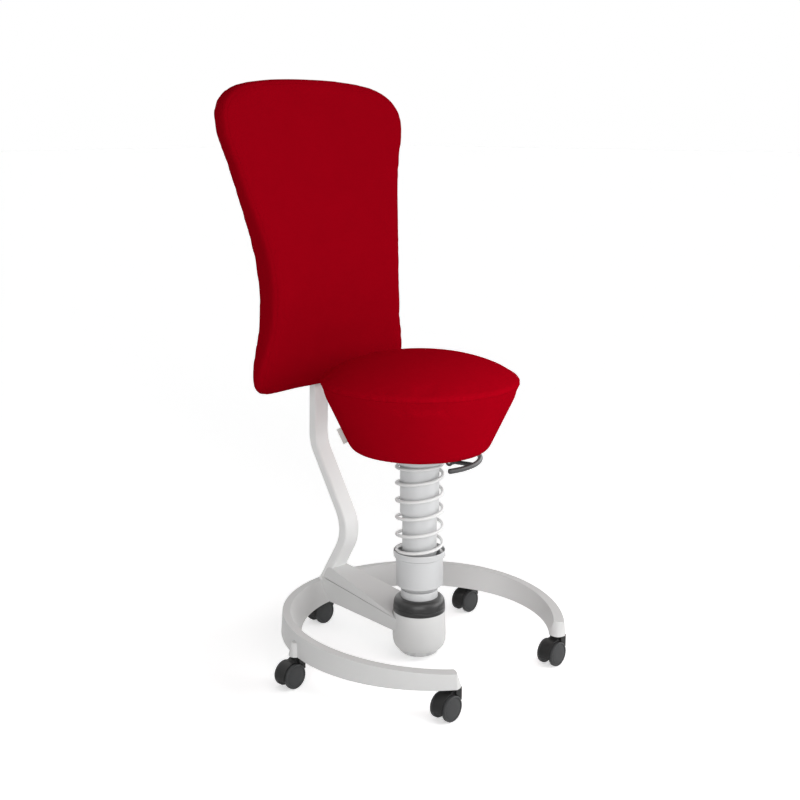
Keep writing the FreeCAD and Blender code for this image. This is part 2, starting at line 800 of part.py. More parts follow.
def boot_lip():
    inner = hub_radius - hub_rim_wall + fit
    groove = hub_top + lip_groove_rise
    return turned((inner, hub_top), (lip_outer, hub_top), (lip_outer, groove - run),
                  (lip_outer - lip_groove, groove), (lip_outer, groove + run),
                  (lip_outer - lip_groove / 3, hub_top + lip_height), (inner, hub_top + lip_height))


def sway_knob():
    """Turning knob under the hub: a rim with finger notches, a domed foot and a threaded shank."""
    top = hub_bottom - gap
    foot = top - knob_height
    bend = (knob_radius - (knob_radius - knob_foot_radius) * knob_bulge,
            foot + (knob_height - knob_rim) * knob_bulge)
    shank_top = hub_floor - gap
    body = turned((0, foot), (knob_foot_radius, foot), (bend, (knob_radius, top - knob_rim)),
                  (knob_radius, top), (knob_shank, top), (knob_shank, shank_top), (0, shank_top))
    for i in range(knob_notches):
        notch = disc(knob_notch, 0, top - run)
        notch.translate(Vector(knob_radius + knob_notch_out, 0, 0))
        body = body.cut(turn_z(notch, 360.0 / knob_notches * (i + 0.5)))
    return body


def build_hub():
    export("gimbal_yoke", gimbal_yoke())
    export("gimbal_ring", gimbal_ring())
    export("gimbal_outer_pins", gimbal_outer_pins())
    export("gimbal_inner_pins", gimbal_inner_pins())
    export("column_spigot", column_spigot())
    export("boot_dome", boot_dome())
    export("boot_lip", boot_lip())
    export("sway_knob", sway_knob())
    plate = hub_floor + plate_wall
    export("sway_pressure_plate", tube(hub_lower_bore - gap, stub_radius, hub_floor, plate))
    export("sway_buffer", tube(hub_lower_bore - gap, buffer_bore, plate, plate + buffer_height))


# Spring column

def spring_cup():
    foot, lip = neck_top + cup_chamfer, neck_top + cup_body
    bore = spigot_radius + gap
    return turned((bore, neck_top), (neck_radius, neck_top), (cup_radius, foot),
                  (cup_radius, lip - 2 * run), (lip_radius - run, lip),
                  (lip_radius, lip + 2 * run), (lip_radius, cup_top - run),
                  (lip_radius - lip_wall / 2, cup_top), (lip_radius - lip_wall, cup_top - run),
                  (lip_radius - lip_wall, spring_seat), (cup_radius - cup_wall, spring_seat),
                  (cup_radius - cup_wall, neck_top + cup_floor), (bore, neck_top + cup_floor))


def coil_height(u):
    """Rise of the wire's middle above its lower end after u turns, with both ends closed."""
    total = spring_length - wire - 2 * gap - 2 * coil_end_slack()
    pitch = (total - coil_ease * coil_end_pitch) / (coil_turns - coil_ease)
    if u > coil_turns / 2:
        return total - coil_height(coil_turns - u)
    if u < coil_ease:
        return coil_end_pitch * u + (pitch - coil_end_pitch) * u * u / (2 * coil_ease)
    closed = coil_ease * (coil_end_pitch + pitch) / 2
    return closed + pitch * (u - coil_ease)


def coil_end_slack():
    """Height that the straight ends of the wire gain over one wire diameter."""
    return wire * coil_end_pitch / (2 * math.pi * (coil_outer - wire / 2))


def coil_point(u):
    radius = coil_outer - wire / 2
    angle = math.radians(coil_start) + 2 * math.pi * u
    base = spring_seat + gap + coil_end_slack() + wire / 2
    return Vector(radius * math.cos(angle), radius * math.sin(angle), base + coil_height(u))


def coil_tangent(u):
    step = 1e-4
    return (coil_point(u + step) - coil_point(u - step)).normalize()


def arc_from(start, tangent, end):
    """Arc that leaves a point along a tangent and ends at another point."""
    chord = end - start
    reach = chord.Length ** 2 / (2 * chord.dot(tangent))
    knee = start + tangent * reach
    weight = chord.Length / (2 * reach)
    middle = (start + knee * (2 * weight) + end) * (1 / (2 + 2 * weight))
    return Part.Arc(start, middle, end).toShape()


def biarc(a, ta, b, tb):
    """Two tangent arcs from one point and direction to another."""
    chord = b - a
    both = ta + tb
    square = 2 * (1 - ta.dot(tb))
    lean = chord.dot(both)
    reach = (math.sqrt(lean ** 2 + square * chord.dot(chord)) - lean) / square
    joint = (a + b + (ta - tb) * reach) * 0.5
    first = arc_from(a, ta, joint)
    middle_direction = ((b - tb * reach) - (a + ta * reach)).normalize()
    return [first, arc_from(joint, middle_direction, b)]


def coil_spring():
    quarters = int(round(coil_turns * 4))
    knots = [coil_turns * i / quarters for i in range(quarters + 1)]
    points = [coil_point(u) for u in knots]
    tangents = [coil_tangent(u) for u in knots]
    edges = [Part.LineSegment(points[0] - tangents[0] * wire, points[0]).toShape()]
    for i in range(quarters):
        edges += biarc(points[i], tangents[i], points[i + 1], tangents[i + 1])
    edges.append(Part.LineSegment(points[-1], points[-1] + tangents[-1] * wire).toShape())
    path = Part.Wire(edges)
    start = points[0] - tangents[0] * wire
    circle = Part.Wire(Part.makeCircle(wire / 2, start, tangents[0]))
    sweep = Part.BRepOffsetAPI.MakePipeShell(path)
    sweep.add(circle)
    sweep.build()
    sweep.makeSolid()
    report_coil_gap()
    return sweep.shape()


def report_coil_gap():
    """Least distance between neighbouring turns, measured on points of the wire's middle line."""
    steps = 48
    middle = [coil_point(i / steps) for i in range(int(coil_turns * steps) + 1)]
    least = min((p - q).Length for i, p in enumerate(middle) for q in middle[i + steps // 2:])
    print("coil spring: least gap to itself %.2f mm" % (least - wire))


def build_column():
    export("spring_cup", spring_cup())
    export("coil_spring", coil_spring())
    export("guide_tube", tube(guide_radius, guide_radius - guide_wall, plug_bottom, guide_top))
    bush = guide_radius - guide_wall - fit
    bore = stand_radius + fit
    export("guide_bush", turned((bore, guide_top - bush_length), (bush, guide_top - bush_length),
                                (bush, guide_top), (guide_radius, guide_top),
                                (guide_radius, guide_top + bush_flange), (bore, guide_top + bush_flange)))
    export("upper_tube", tube(sleeve_radius, guide_radius + run,
                              plate_bottom - sleeve_length, plate_bottom))
    export("spring_plate", tube(spring_plate_radius, stand_radius + fit, plate_bottom, plate_top))
    stand_bore = stand_radius - tube_wall
    export("stand_tube", turned((stand_bore, stand_bottom), (stand_radius, stand_bottom),
                                (stand_radius, plate_top), (stand_radius + bush_flange, plate_top),
                                (stand_radius + bush_flange, plate_top + bush_flange),
                                (stand_radius, plate_top + bush_flange),
                                (stand_radius, stand_top), (stand_bore, stand_top)))
    export("rod_anchor", tube(stand_bore - fit, rod_radius + fit, stand_bottom, anchor_top))
    lift, bore = stand_bore - fit, gas_radius + fit
    export("lift_bush", turned((bore, stand_top - bush_length), (lift, stand_top - bush_length),
                               (lift, stand_top), (stand_radius, stand_top),
                               (stand_radius, lift_bush_top), (bore, lift_bush_top)))
    export("piston_rod", piston_rod())
    export("gas_cylinder", gas_cylinder())


def gas_cylinder():
    bore = gas_radius - gas_wall
    return turned((rod_radius + fit, gas_bottom), (gas_radius, gas_bottom), (gas_radius, gas_top),
                  (0, gas_top), (0, gas_top - 2 * gas_cap), (bore, gas_top - 2 * gas_cap),
                  (bore, gas_bottom + gas_cap), (rod_radius + fit, gas_bottom + gas_cap))


def piston_rod():
    piston = gas_bottom + gas_cap + 4 * run
    return turned((0, stand_bottom), (rod_radius, stand_bottom), (rod_radius, piston),
                  (gas_radius - gas_wall - fit, piston), (gas_radius - gas_wall - fit, piston + gas_cap),
                  (0, piston + gas_cap))


# Seat

def seat_hub():
    flange = pan_under - seat_flange_wall
    body = turned((gas_radius + fit, seat_hub_bottom), (seat_hub_radius, seat_hub_bottom),
                  (seat_hub_radius, flange - seat_flange_wall),
                  (seat_hub_radius + seat_flange_wall, flange), (seat_flange_radius, flange),
                  (seat_flange_radius, pan_under), (0, pan_under), (0, gas_top + gap),
                  (gas_radius + fit, gas_top + gap))
    for x, y in seat_screw_places():
        body = body.cut(bar((x, y, seat_hub_bottom), (x, y, 2 * pan_under), screw_m6 + fit))
    return body


def seat_screw_places():
    return [(seat_screw_circle * math.cos(a), seat_screw_circle * math.sin(a))
            for a in [math.radians(45 + 90 * i) for i in range(4)]]


def seat_screws():
    flange = pan_under - seat_flange_wall
    screws = []
    for x, y in seat_screw_places():
        head = bar((x, y, flange - screw_head_height), (x, y, flange), screw_m6 * screw_head)
        shank = bar((x, y, flange), (x, y, pan_under + pan_top_wall - 2 * run), screw_m6)
        screws.append(head.fuse(shank))
    return group(screws)


def seat_pan():
    wall = pan_cavity + pan_wall
    low, high = pan_foot_z, pan_under + pan_top_wall
    body = turned((0, pan_under), (pan_cavity, pan_under), (pan_cavity, low), (pan_foot_radius, low),
                  (pan_foot_radius, low + pan_foot_wall), (wall, low + pan_foot_wall),
                  (wall, pan_under), (pan_top_radius, pan_under), (pan_top_radius, high), (0, high))
    for x, y in seat_screw_places():
        body = body.cut(bar((x, y, 0), (x, y, high - run), screw_m6 + fit))
    return body


def crown(r):
    return seat_rim_z + seat_crown * (1 - (r / seat_rim_radius) ** seat_crown_power)


def seat_cushion():
    """Padded cone round the pan, with a crowned top, a sewn rim and sides drawn in to the foot."""
    wall, low = pan_cavity + pan_wall + gap, pan_foot_z
    high = pan_under + pan_top_wall + gap
    corner = Vector(seat_rim_radius - seat_slope * seat_depth, 0, seat_bottom)
    edge = seat_rim_radius - seat_rim_round
    top = [Vector(r, 0, crown(r)) for r in [edge * i / 4.0 for i in range(5)]]
    rim = Vector(seat_rim_radius - seat_slope * seat_rim_round, 0, seat_rim_z - seat_rim_round)
    rim_mid = Vector(seat_rim_radius + seat_rim_middle[0], 0, seat_rim_z + seat_rim_middle[1])
    upward, inward = Vector(seat_slope, 0, 1).normalize(), Vector(-1, 0, 0)
    half_angle = upward.getAngle(inward) / 2
    side = corner + upward * (seat_foot_round / math.tan(half_angle))
    under = corner + inward * (seat_foot_round / math.tan(half_angle))
    bend = corner + (upward + inward).normalize() * seat_foot_round * (1 / math.sin(half_angle) - 1)
    inside = [under, Vector(pan_foot_radius + gap, 0, seat_bottom),
              Vector(pan_foot_radius + gap, 0, low + pan_foot_wall + gap),
              Vector(wall, 0, low + pan_foot_wall + gap), Vector(wall, 0, pan_under - gap),
              Vector(pan_top_radius + gap, 0, pan_under - gap), Vector(pan_top_radius + gap, 0, high),
              Vector(0, 0, high), top[0]]
    curve = Part.BSplineCurve()
    curve.interpolate(top, InitialTangent=Vector(1, 0, 0), FinalTangent=top[-1] - top[-2])
    edges = [curve.toShape(), Part.Arc(top[-1], rim_mid, rim).toShape(),
             Part.LineSegment(rim, side).toShape(), Part.Arc(side, bend, under).toShape()]
    edges += [Part.LineSegment(a, b).toShape() for a, b in zip(inside, inside[1:])]
    return Part.Face(Part.Wire(edges)).revolve(Vector(), Vector(0, 0, 1), 360)


def release_lever():
    """Curved grip on a straight arm, made pointing to the front and turned to its place."""
    span = math.radians(lever_span)

    def on_arc(angle):
        return Vector(lever_reach * math.sin(angle), -lever_reach * math.cos(angle), lever_z)

    path = Part.Wire(Part.Arc(on_arc(-span), on_arc(0), on_arc(span)).toShape())
    along = Vector(math.cos(span), -math.sin(span), 0)
    circle = Part.Wire(Part.makeCircle(lever_radius, on_arc(-span), along))
    grip = path.makePipeShell([circle], True, False)
    arm = bar((0, -lever_pivot + lever_tail, lever_z), (0, -lever_reach, lever_z), lever_arm_radius)
    body = grip.fuse(arm).removeSplitter()
    return turn_z(body.cut(lever_axis(lever_reach, lever_pin + fit)), lever_turn)


def lever_axis(half, radius):
    return bar((-half, -lever_pivot, lever_z), (half, -lever_pivot, lever_z), radius)


def lever_bracket():
    """Channel under the pan's foot with two ears for the lever's pin."""
    top = pan_foot_z
    inside = lever_arm_radius + 2 * gap
    outside = inside + bracket_wall
    half = bracket_length / 2
    front = -lever_pivot - half
    base = Part.makeBox(2 * outside, bracket_length, bracket_wall,
                        Vector(-outside, front, top - bracket_wall))
    ears = []
    for x in (-outside, inside):
        ears.append(Part.makeBox(bracket_wall, bracket_length, top - lever_z, Vector(x, front, lever_z)))
        ears.append(bar((x, -lever_pivot, lever_z), (x + bracket_wall, -lever_pivot, lever_z), half))
    body = base.fuse(ears).removeSplitter()
    return turn_z(body.cut(lever_axis(lever_reach, lever_pin + fit)), lever_turn)


def lever_pin_piece():
    half = lever_arm_radius + 2 * gap + bracket_wall
    return turn_z(lever_axis(half, lever_pin), lever_turn)


def release_cable():
    """Sheathed cable inside the seat, from the lever's tail up to the valve in the seat hub."""
    y = -(lever_pivot - lever_tail) - cable_radius
    low = lever_z + lever_arm_radius + gap
    high = seat_hub_bottom + cable_bend
    a = Vector(0, y, low)
    b = Vector(0, y, high - cable_bend)
    bow = cable_bend * (1 - math.sqrt(0.5))
    knee = Vector(0, y + bow, high - bow)
    c = Vector(0, y + cable_bend, high)
    d = Vector(0, -seat_hub_radius - gap, high)
    path = Part.Wire([Part.LineSegment(a, b).toShape(), Part.Arc(b, knee, c).toShape(),
                      Part.LineSegment(c, d).toShape()])
    circle = Part.Wire(Part.makeCircle(cable_radius, a, Vector(0, 0, 1)))
    return turn_z(path.makePipeShell([circle], True, False), lever_turn)


def build_seat():
    export("seat_hub", seat_hub())
    export("seat_screws", seat_screws())
    export("seat_pan", seat_pan())
    export("seat_cushion", seat_cushion())
    export("release_lever", release_lever())
    export("lever_bracket", lever_bracket())
    export("lever_pin", lever_pin_piece())
    export("release_cable", release_cable())


os.makedirs("parts", exist_ok=True)
build_castors()
export("foot_ring", foot_ring())
export("backrest_stem", backrest_stem())
export("stem_screws", stem_screws())
build_backrest()
build_hub()
build_column()
build_seat()
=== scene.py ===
import json
from math import acos, asin, atan, atan2, cos, degrees, hypot, pi, radians, sin, sqrt, tan
import bmesh
import bpy
from mathutils import Matrix, Vector
from mathutils.bvhtree import BVHTree
from mathutils.kdtree import KDTree


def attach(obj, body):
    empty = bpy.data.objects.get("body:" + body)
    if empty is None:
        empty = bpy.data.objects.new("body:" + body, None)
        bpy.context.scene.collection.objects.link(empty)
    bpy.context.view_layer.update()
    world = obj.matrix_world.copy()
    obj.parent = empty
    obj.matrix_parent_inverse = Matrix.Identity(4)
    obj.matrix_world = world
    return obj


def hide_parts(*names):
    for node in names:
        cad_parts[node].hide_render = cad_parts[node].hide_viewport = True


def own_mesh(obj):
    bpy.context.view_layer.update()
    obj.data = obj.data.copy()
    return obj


# Wobble stool with backrest. The sitter faces -Y, the floor is z = 0.
# Sizes in the dictionaries are millimetres unless a note says otherwise.
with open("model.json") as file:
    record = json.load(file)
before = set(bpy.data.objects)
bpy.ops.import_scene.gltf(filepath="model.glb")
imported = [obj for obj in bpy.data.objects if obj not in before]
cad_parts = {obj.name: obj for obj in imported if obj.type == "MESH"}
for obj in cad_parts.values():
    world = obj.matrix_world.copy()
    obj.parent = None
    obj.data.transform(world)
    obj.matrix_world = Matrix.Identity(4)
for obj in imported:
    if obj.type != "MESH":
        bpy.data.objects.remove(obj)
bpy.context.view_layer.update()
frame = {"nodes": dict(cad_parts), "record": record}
cadNodes = frame["nodes"]
mm = 0.001
scene = bpy.context.scene


# small mesh tools

def adjust(thing, settings):
    for key, value in settings.items():
        setattr(thing, key, value)


def addObject(name, data):
    obj = bpy.data.objects.new(name, data)
    scene.collection.objects.link(obj)
    return obj


def meshPiece(name, verts, faces, sharp=40):
    mesh = bpy.data.meshes.new(name)
    mesh.from_pydata([Vector(v) * mm for v in verts], [], faces)
    work = bmesh.new()
    work.from_mesh(mesh)
    bmesh.ops.recalc_face_normals(work, faces=work.faces)
    work.to_mesh(mesh)
    work.free()
    smoothShade(mesh, sharp)
    return addObject(name, mesh)


def smoothShade(mesh, sharp):
    mesh.polygons.foreach_set("use_smooth", [True] * len(mesh.polygons))
    if sharp:
        mesh.set_sharp_from_angle(angle=radians(sharp))


def softEdges(obj, width, segments=3, angle=36, clamp=True):
    adjust(obj.modifiers.new("softEdges", "BEVEL"), {
        "width": width * mm, "segments": segments, "limit_method": "ANGLE",
        "angle_limit": radians(angle), "use_clamp_overlap": clamp})
    obj.modifiers.new("evenNormals", "WEIGHTED_NORMAL").keep_sharp = False
    smoothShade(obj.data, 0)
    return obj


# corner points may carry a third number, the rounding at that corner
def rounded(points, closed, steps):
    out = []
    count = len(points)
    for i, p in enumerate(points):
        here = Vector(p[:2])
        size = p[2] if len(p) > 2 else 0
        if not size or (not closed and i in (0, count - 1)):
            out.append(here)
            continue
        back = Vector(points[i - 1][:2]) - here
        ahead = Vector(points[(i + 1) % count][:2]) - here
        half = back.angle(ahead) / 2
        reach = min(size / tan(half), 0.49 * back.length, 0.49 * ahead.length)
        back.normalize()
        ahead.normalize()
        centre = here + (back + ahead).normalized() * (reach / cos(half))
        start, end = here + back * reach - centre, here + ahead * reach - centre
        sweep = pi - 2 * half
        for k in range(steps + 1):
            t = k / steps
            arm = start * sin((1 - t) * sweep) + end * sin(t * sweep)
            out.append(centre + arm / sin(sweep))
    return out


# closed outline (r, z) turned about the Z axis
def turnedPiece(name, outline, sides, steps=5, sharp=40):
    outline = rounded(outline, True, steps)
    verts, rings = [], []
    for r, z in outline:
        if r < 1e-6:
            rings.append([len(verts)] * sides)
            verts.append((0, 0, z))
        else:
            rings.append(list(range(len(verts), len(verts) + sides)))
            for k in range(sides):
                a = 2 * pi * k / sides
                verts.append((r * cos(a), r * sin(a), z))
    faces = []
    for i, low in enumerate(rings):
        high = rings[(i + 1) % len(rings)]
        for k in range(sides):
            n = (k + 1) % sides
            corners = [low[k], low[n], high[n], high[k]]
            loop = [c for j, c in enumerate(corners) if c not in corners[:j]]
            if len(loop) > 2:
                faces.append(loop)
    return meshPiece(name, verts, faces, sharp)


# quads between closed loops that follow each other
def tubeFaces(loops, count):
    faces = []
    for r in range(loops - 1):
        for i in range(count):
            j = (i + 1) % count
            faces.append((r * count + i, r * count + j, (r + 1) * count + j, (r + 1) * count + i))
    return faces


# two like sheets of quads, their points counted line by line
def doubleSheet(lines, per):
    faces = []
    for i in range(lines - 1):
        for k in range(per - 1):
            for base in (0, lines * per):
                a = base + i * per + k
                faces.append((a, a + 1, a + per + 1, a + per))
    return faces


# bar between two lines, four corners to a section
def flatBar(near, far, corner):
    verts = []
    for a, b in zip(near, far):
        verts += [corner(-1, a), corner(1, a), corner(1, b), corner(-1, b)]
    last = len(verts) - 4
    return verts, tubeFaces(len(near), 4) + [(0, 1, 2, 3), tuple(range(last, last + 4))]


# round bar along a path, with softened ends
def barMesh(path, radius, sides, endRound=0.6):
    path = [Vector(p) for p in path]
    last = len(path) - 1
    tangents = []
    for i in range(last + 1):
        tangents.append((path[min(i + 1, last)] - path[max(i - 1, 0)]).normalized())
    shrink = radius * endRound
    caps = []
    for turn in (90, 45, 0):
        t = radians(turn)
        caps.append((shrink - shrink * sin(t), radius - shrink + shrink * cos(t)))
    rows = [(0, along, size) for along, size in caps]
    rows += [(i, 0, radius) for i in range(1, last)]
    rows += [(last, -along, size) for along, size in caps[::-1]]
    side = tangents[0].orthogonal().normalized()
    verts = []
    for i, along, size in rows:
        tangent = tangents[i]
        side = (side - tangent * side.dot(tangent)).normalized()
        other = tangent.cross(side)
        centre = path[i] + tangent * along
        for k in range(sides):
            a = 2 * pi * k / sides
            verts.append(centre + (side * cos(a) + other * sin(a)) * size)
    faces = tubeFaces(len(rows), sides)
    faces.append(list(range(sides))[::-1])
    faces.append([(len(rows) - 1) * sides + k for k in range(sides)])
    return verts, faces


def joinMeshes(parts):
    verts, faces = [], []
    for v, f in parts:
        base = len(verts)
        verts += list(v)
        faces += [[i + base for i in face] for face in f]
    return verts, faces


# node tools

def put(tree, kind, sockets=None, settings=None):
    node = tree.nodes.new("ShaderNode" + kind)
    adjust(node, settings or {})
    for key, value in (sockets or {}).items():
        if isinstance(value, bpy.types.NodeSocket):
            tree.links.new(value, node.inputs[key])
        else:
            node.inputs[key].default_value = value
    return node


def calc(tree, operation, a, b=0.0, c=0.0):
    return put(tree, "Math", {0: a, 1: b, 2: c}, {"operation": operation}).outputs[0]


# swing of a noise about its middle
def sway(tree, value, amount, base=0.0):
    return calc(tree, "MULTIPLY_ADD", calc(tree, "SUBTRACT", value, 0.5), amount, base)


def noise(tree, place, scale, detail, rough=0.5):
    sockets = {"Vector": place, "Scale": scale, "Detail": detail, "Roughness": rough}
    return put(tree, "TexNoise", sockets).outputs[0]


def remap(tree, value, start, end, low=0.0):
    return put(tree, "MapRange", {0: value, 1: start, 2: end, 3: low, 4: 1.0}).outputs[0]


def blend(tree, share, first, second):
    return put(tree, "MixRGB", {"Fac": share, "Color1": first, "Color2": second}).outputs[0]


def objectPlace(tree):
    return put(tree, "TexCoord").outputs["Object"]


def faceNormal(tree):
    return put(tree, "NewGeometry").outputs["Normal"]


def splitAxes(tree, vector):
    return put(tree, "SeparateXYZ", {0: vector}).outputs


# a value of four numbers makes a colour socket
def newGroup(name, inputs, outputs):
    tree = bpy.data.node_groups.new(name, "ShaderNodeTree")
    for label, value in inputs.items():
        kind = "NodeSocketColor" if isinstance(value, tuple) else "NodeSocketFloat"
        tree.interface.new_socket(label, in_out="INPUT", socket_type=kind).default_value = value
    for label in outputs:
        kind = "NodeSocketColor" if label == "Color" else "NodeSocketFloat"
        tree.interface.new_socket(label, in_out="OUTPUT", socket_type=kind)
    return tree, tree.nodes.new("NodeGroupInput").outputs, tree.nodes.new("NodeGroupOutput").inputs


def giveBack(tree, result, values):
    for label, value in values.items():
        tree.links.new(value, result[label])
    return tree


def useGroup(tree, group, sockets):
    return put(tree, "Group", sockets, {"node_tree": group}).outputs


def grey(value):
    return (value, value, value)


# fine orange-peel of a sprayed or moulded skin, with a slow drift of tone
def makeSkinGrain():
    tree, given, result = newGroup("skinGrain", {
        "Color": (*grey(0.5), 1), "Drift": 0.1, "Roughness": 0.5, "Spread": 0.1, "Scale": 900.0},
        ["Color", "Roughness", "Height"])
    place = objectPlace(tree)
    fine = noise(tree, place, given["Scale"], 2.0)
    slow = noise(tree, place, 11.0, 3.0)
    drift = sway(tree, slow, given["Drift"], 1.0)
    tone = put(tree, "HueSaturation", {"Color": given["Color"], "Value": drift})
    mixed = calc(tree, "ADD", calc(tree, "MULTIPLY", fine, 0.5), calc(tree, "MULTIPLY", slow, 0.5))
    rough = sway(tree, mixed, given["Spread"], given["Roughness"])
    return giveBack(tree, result, {"Color": tone.outputs[0], "Roughness": rough, "Height": fine})


# handled edges: a bevel normal that leaves the face normal marks them
def makeEdgeRub():
    tree, given, result = newGroup("edgeRub", {
        "Color": (*grey(0.5), 1), "Bare": (*grey(0.8), 1), "Amount": 0.2, "Width": 0.0015}, ["Color"])
    bent = put(tree, "Bevel", {"Radius": given["Width"]}, {"samples": 4}).outputs[0]
    dot = put(tree, "VectorMath", {0: bent, 1: faceNormal(tree)}, {"operation": "DOT_PRODUCT"})
    edge = remap(tree, dot.outputs["Value"], 0.995, 0.8)
    broken = remap(tree, noise(tree, objectPlace(tree), 60.0, 4.0), 0.42, 0.62, 0.25)
    mask = calc(tree, "MULTIPLY", calc(tree, "MULTIPLY", edge, broken), given["Amount"])
    return giveBack(tree, result, {"Color": blend(tree, mask, given["Color"], given["Bare"])})


# plain weave laid on from the three axes, so it needs no unwrapping
def makeClothWeave():
    tree, given, result = newGroup("clothWeave", {
        "Color": (0.3, 0.0, 0.0, 1), "Pitch": 0.0009, "Nap": 0.3}, ["Color", "Height"])
    place = objectPlace(tree)
    wobble = put(tree, "TexNoise", {"Vector": place, "Scale": 140.0, "Detail": 2.0}).outputs["Color"]
    shift = put(tree, "VectorMath", {0: wobble, "Scale": 0.0012}, {"operation": "SCALE"}).outputs[0]
    moved = put(tree, "VectorMath", {0: place, 1: shift}, {"operation": "ADD"}).outputs[0]
    turns = calc(tree, "DIVIDE", pi, given["Pitch"])
    waves = [calc(tree, "SINE", calc(tree, "MULTIPLY", axis, turns)) for axis in splitAxes(tree, moved)]
    flat = splitAxes(tree, faceNormal(tree))
    weights = [calc(tree, "POWER", calc(tree, "ABSOLUTE", axis), 4.0) for axis in flat]
    total = calc(tree, "ADD", calc(tree, "ADD", weights[0], weights[1]), weights[2])
    height = None
    for i in range(3):
        crossing = calc(tree, "MULTIPLY", waves[(i + 1) % 3], waves[(i + 2) % 3])
        part = calc(tree, "MULTIPLY", crossing, calc(tree, "DIVIDE", weights[i], total))
        height = part if height is None else calc(tree, "ADD", height, part)
    hair = noise(tree, place, 2600.0, 3.0)
    cloud = noise(tree, place, 16.0, 5.0, 0.65)
    yarn = calc(tree, "MULTIPLY_ADD", height, 0.06, 1.0)
    napped, fuzz = [sway(tree, spread, given["Nap"]) for spread in (cloud, hair)]
    value = calc(tree, "ADD", yarn, calc(tree, "ADD", napped, fuzz))
    tone = put(tree, "HueSaturation", {"Color": given["Color"], "Value": value})
    bumps = calc(tree, "MULTIPLY_ADD", hair, 0.8, calc(tree, "MULTIPLY", height, 0.5))
    return giveBack(tree, result, {"Color": tone.outputs[0], "Height": bumps})


# light settled dust on what faces up
def makeDust():
    tree, given, result = newGroup("dust", {
        "Color": (*grey(0.5), 1), "Dust": (0.55, 0.54, 0.52, 1), "Amount": 0.05}, ["Color"])
    flat = remap(tree, splitAxes(tree, faceNormal(tree))[2], 0.3, 1.0)
    patch = noise(tree, objectPlace(tree), 35.0, 5.0)
    mask = calc(tree, "MULTIPLY", calc(tree, "MULTIPLY", flat, patch), given["Amount"])
    return giveBack(tree, result, {"Color": blend(tree, mask, given["Color"], given["Dust"])})


# fine rings left by the lathe on a turned part
def makeTurningMarks():
    tree, given, result = newGroup("turningMarks", {"Scale": 2500.0}, ["Height"])
    along = splitAxes(tree, objectPlace(tree))[2]
    rings = put(tree, "TexNoise", {"W": along, "Scale": given["Scale"], "Detail": 3.0},
                {"noise_dimensions": "1D"})
    return giveBack(tree, result, {"Height": rings.outputs[0]})


groups = {"grain": makeSkinGrain(), "rub": makeEdgeRub(), "weave": makeClothWeave(),
          "dust": makeDust(), "marks": makeTurningMarks()}
print("node groups ready:", ", ".join(sorted(groups)))

# colours are linear: first the coat, then what shows where it is rubbed, then the roughness
plainLook = {"metal": 0.0, "grain": 1000, "bump": 0.1, "bumpDepth": 0.0002, "rub": 0.1, "dust": 0.05,
             "spec": 0.4, "drift": 0.06, "spread": 0.16}


def hardLook(color, bare, rough, **own):
    return {**plainLook, "color": color, "bare": bare, "rough": rough, **own}


looks = {
    "frame_coat": hardLook((0.63, 0.63, 0.625), grey(0.78), 0.46, grain=1500, rub=0.25, dust=0.04),
    "stem_coat": hardLook((0.75, 0.75, 0.745), grey(0.8), 0.44, grain=1500, rub=0.2, dust=0.03),
    "spring_coat": hardLook((0.74, 0.74, 0.735), grey(0.85), 0.34, grain=1800, bump=0.06, dust=0.02,
                            spec=0.5),
    "column_metal": hardLook((0.56, 0.565, 0.57), (0.85, 0.85, 0.86), 0.36, metal=0.25, grain=1200,
                             bump=0.05, rub=0.25, dust=0.02, spec=0.5, marks=3000),
    "steel": hardLook((0.52, 0.52, 0.53), grey(0.7), 0.3, metal=1.0, grain=1200, bump=0.05, rub=0.3,
                      dust=0.03, spec=0.5, marks=3500),
    "castor_plastic": hardLook(grey(0.010), grey(0.05), 0.5, grain=1100, bump=0.16, rub=0.3, dust=0.02,
                               spec=0.22),
    "wheel_plastic": hardLook((0.026, 0.027, 0.028), grey(0.07), 0.5, bump=0.2, rub=0.3, dust=0.03, spec=0.3),
    "boot_rubber": hardLook(grey(0.013), grey(0.06), 0.36, grain=1300, bump=0.2, rub=0.15, dust=0.06),
    "buffer_rubber": hardLook(grey(0.015), grey(0.05), 0.7, bump=0.25, dust=0.08, spec=0.3),
    "knob_plastic": hardLook(grey(0.55), grey(0.7), 0.42, grain=1200, bump=0.12, rub=0.2, dust=0.03, spec=0.45),
    "bush_plastic": hardLook(grey(0.03), grey(0.08), 0.45),
    "shell_plastic": hardLook((0.025, 0.025, 0.026), grey(0.07), 0.55, grain=900, bump=0.25, rub=0.2),
    "lever_coat": hardLook((0.034, 0.034, 0.035), grey(0.2), 0.44, grain=1500, bump=0.12, rub=0.3, dust=0.03,
                           spec=0.5),
    "cable_sheath": hardLook(grey(0.02), grey(0.05), 0.5, grain=1500),
}


def emptyMaterial(name):
    material = bpy.data.materials.new(name)
    material.use_nodes = True
    material.node_tree.nodes.clear()
    return material, material.node_tree


def closeTree(tree, look, height, sockets):
    bump = put(tree, "Bump", {"Height": height, "Strength": look["bump"], "Distance": look["bumpDepth"]})
    shader = put(tree, "BsdfPrincipled", {**sockets, "Normal": bump.outputs[0]})
    put(tree, "OutputMaterial", {"Surface": shader.outputs[0]})


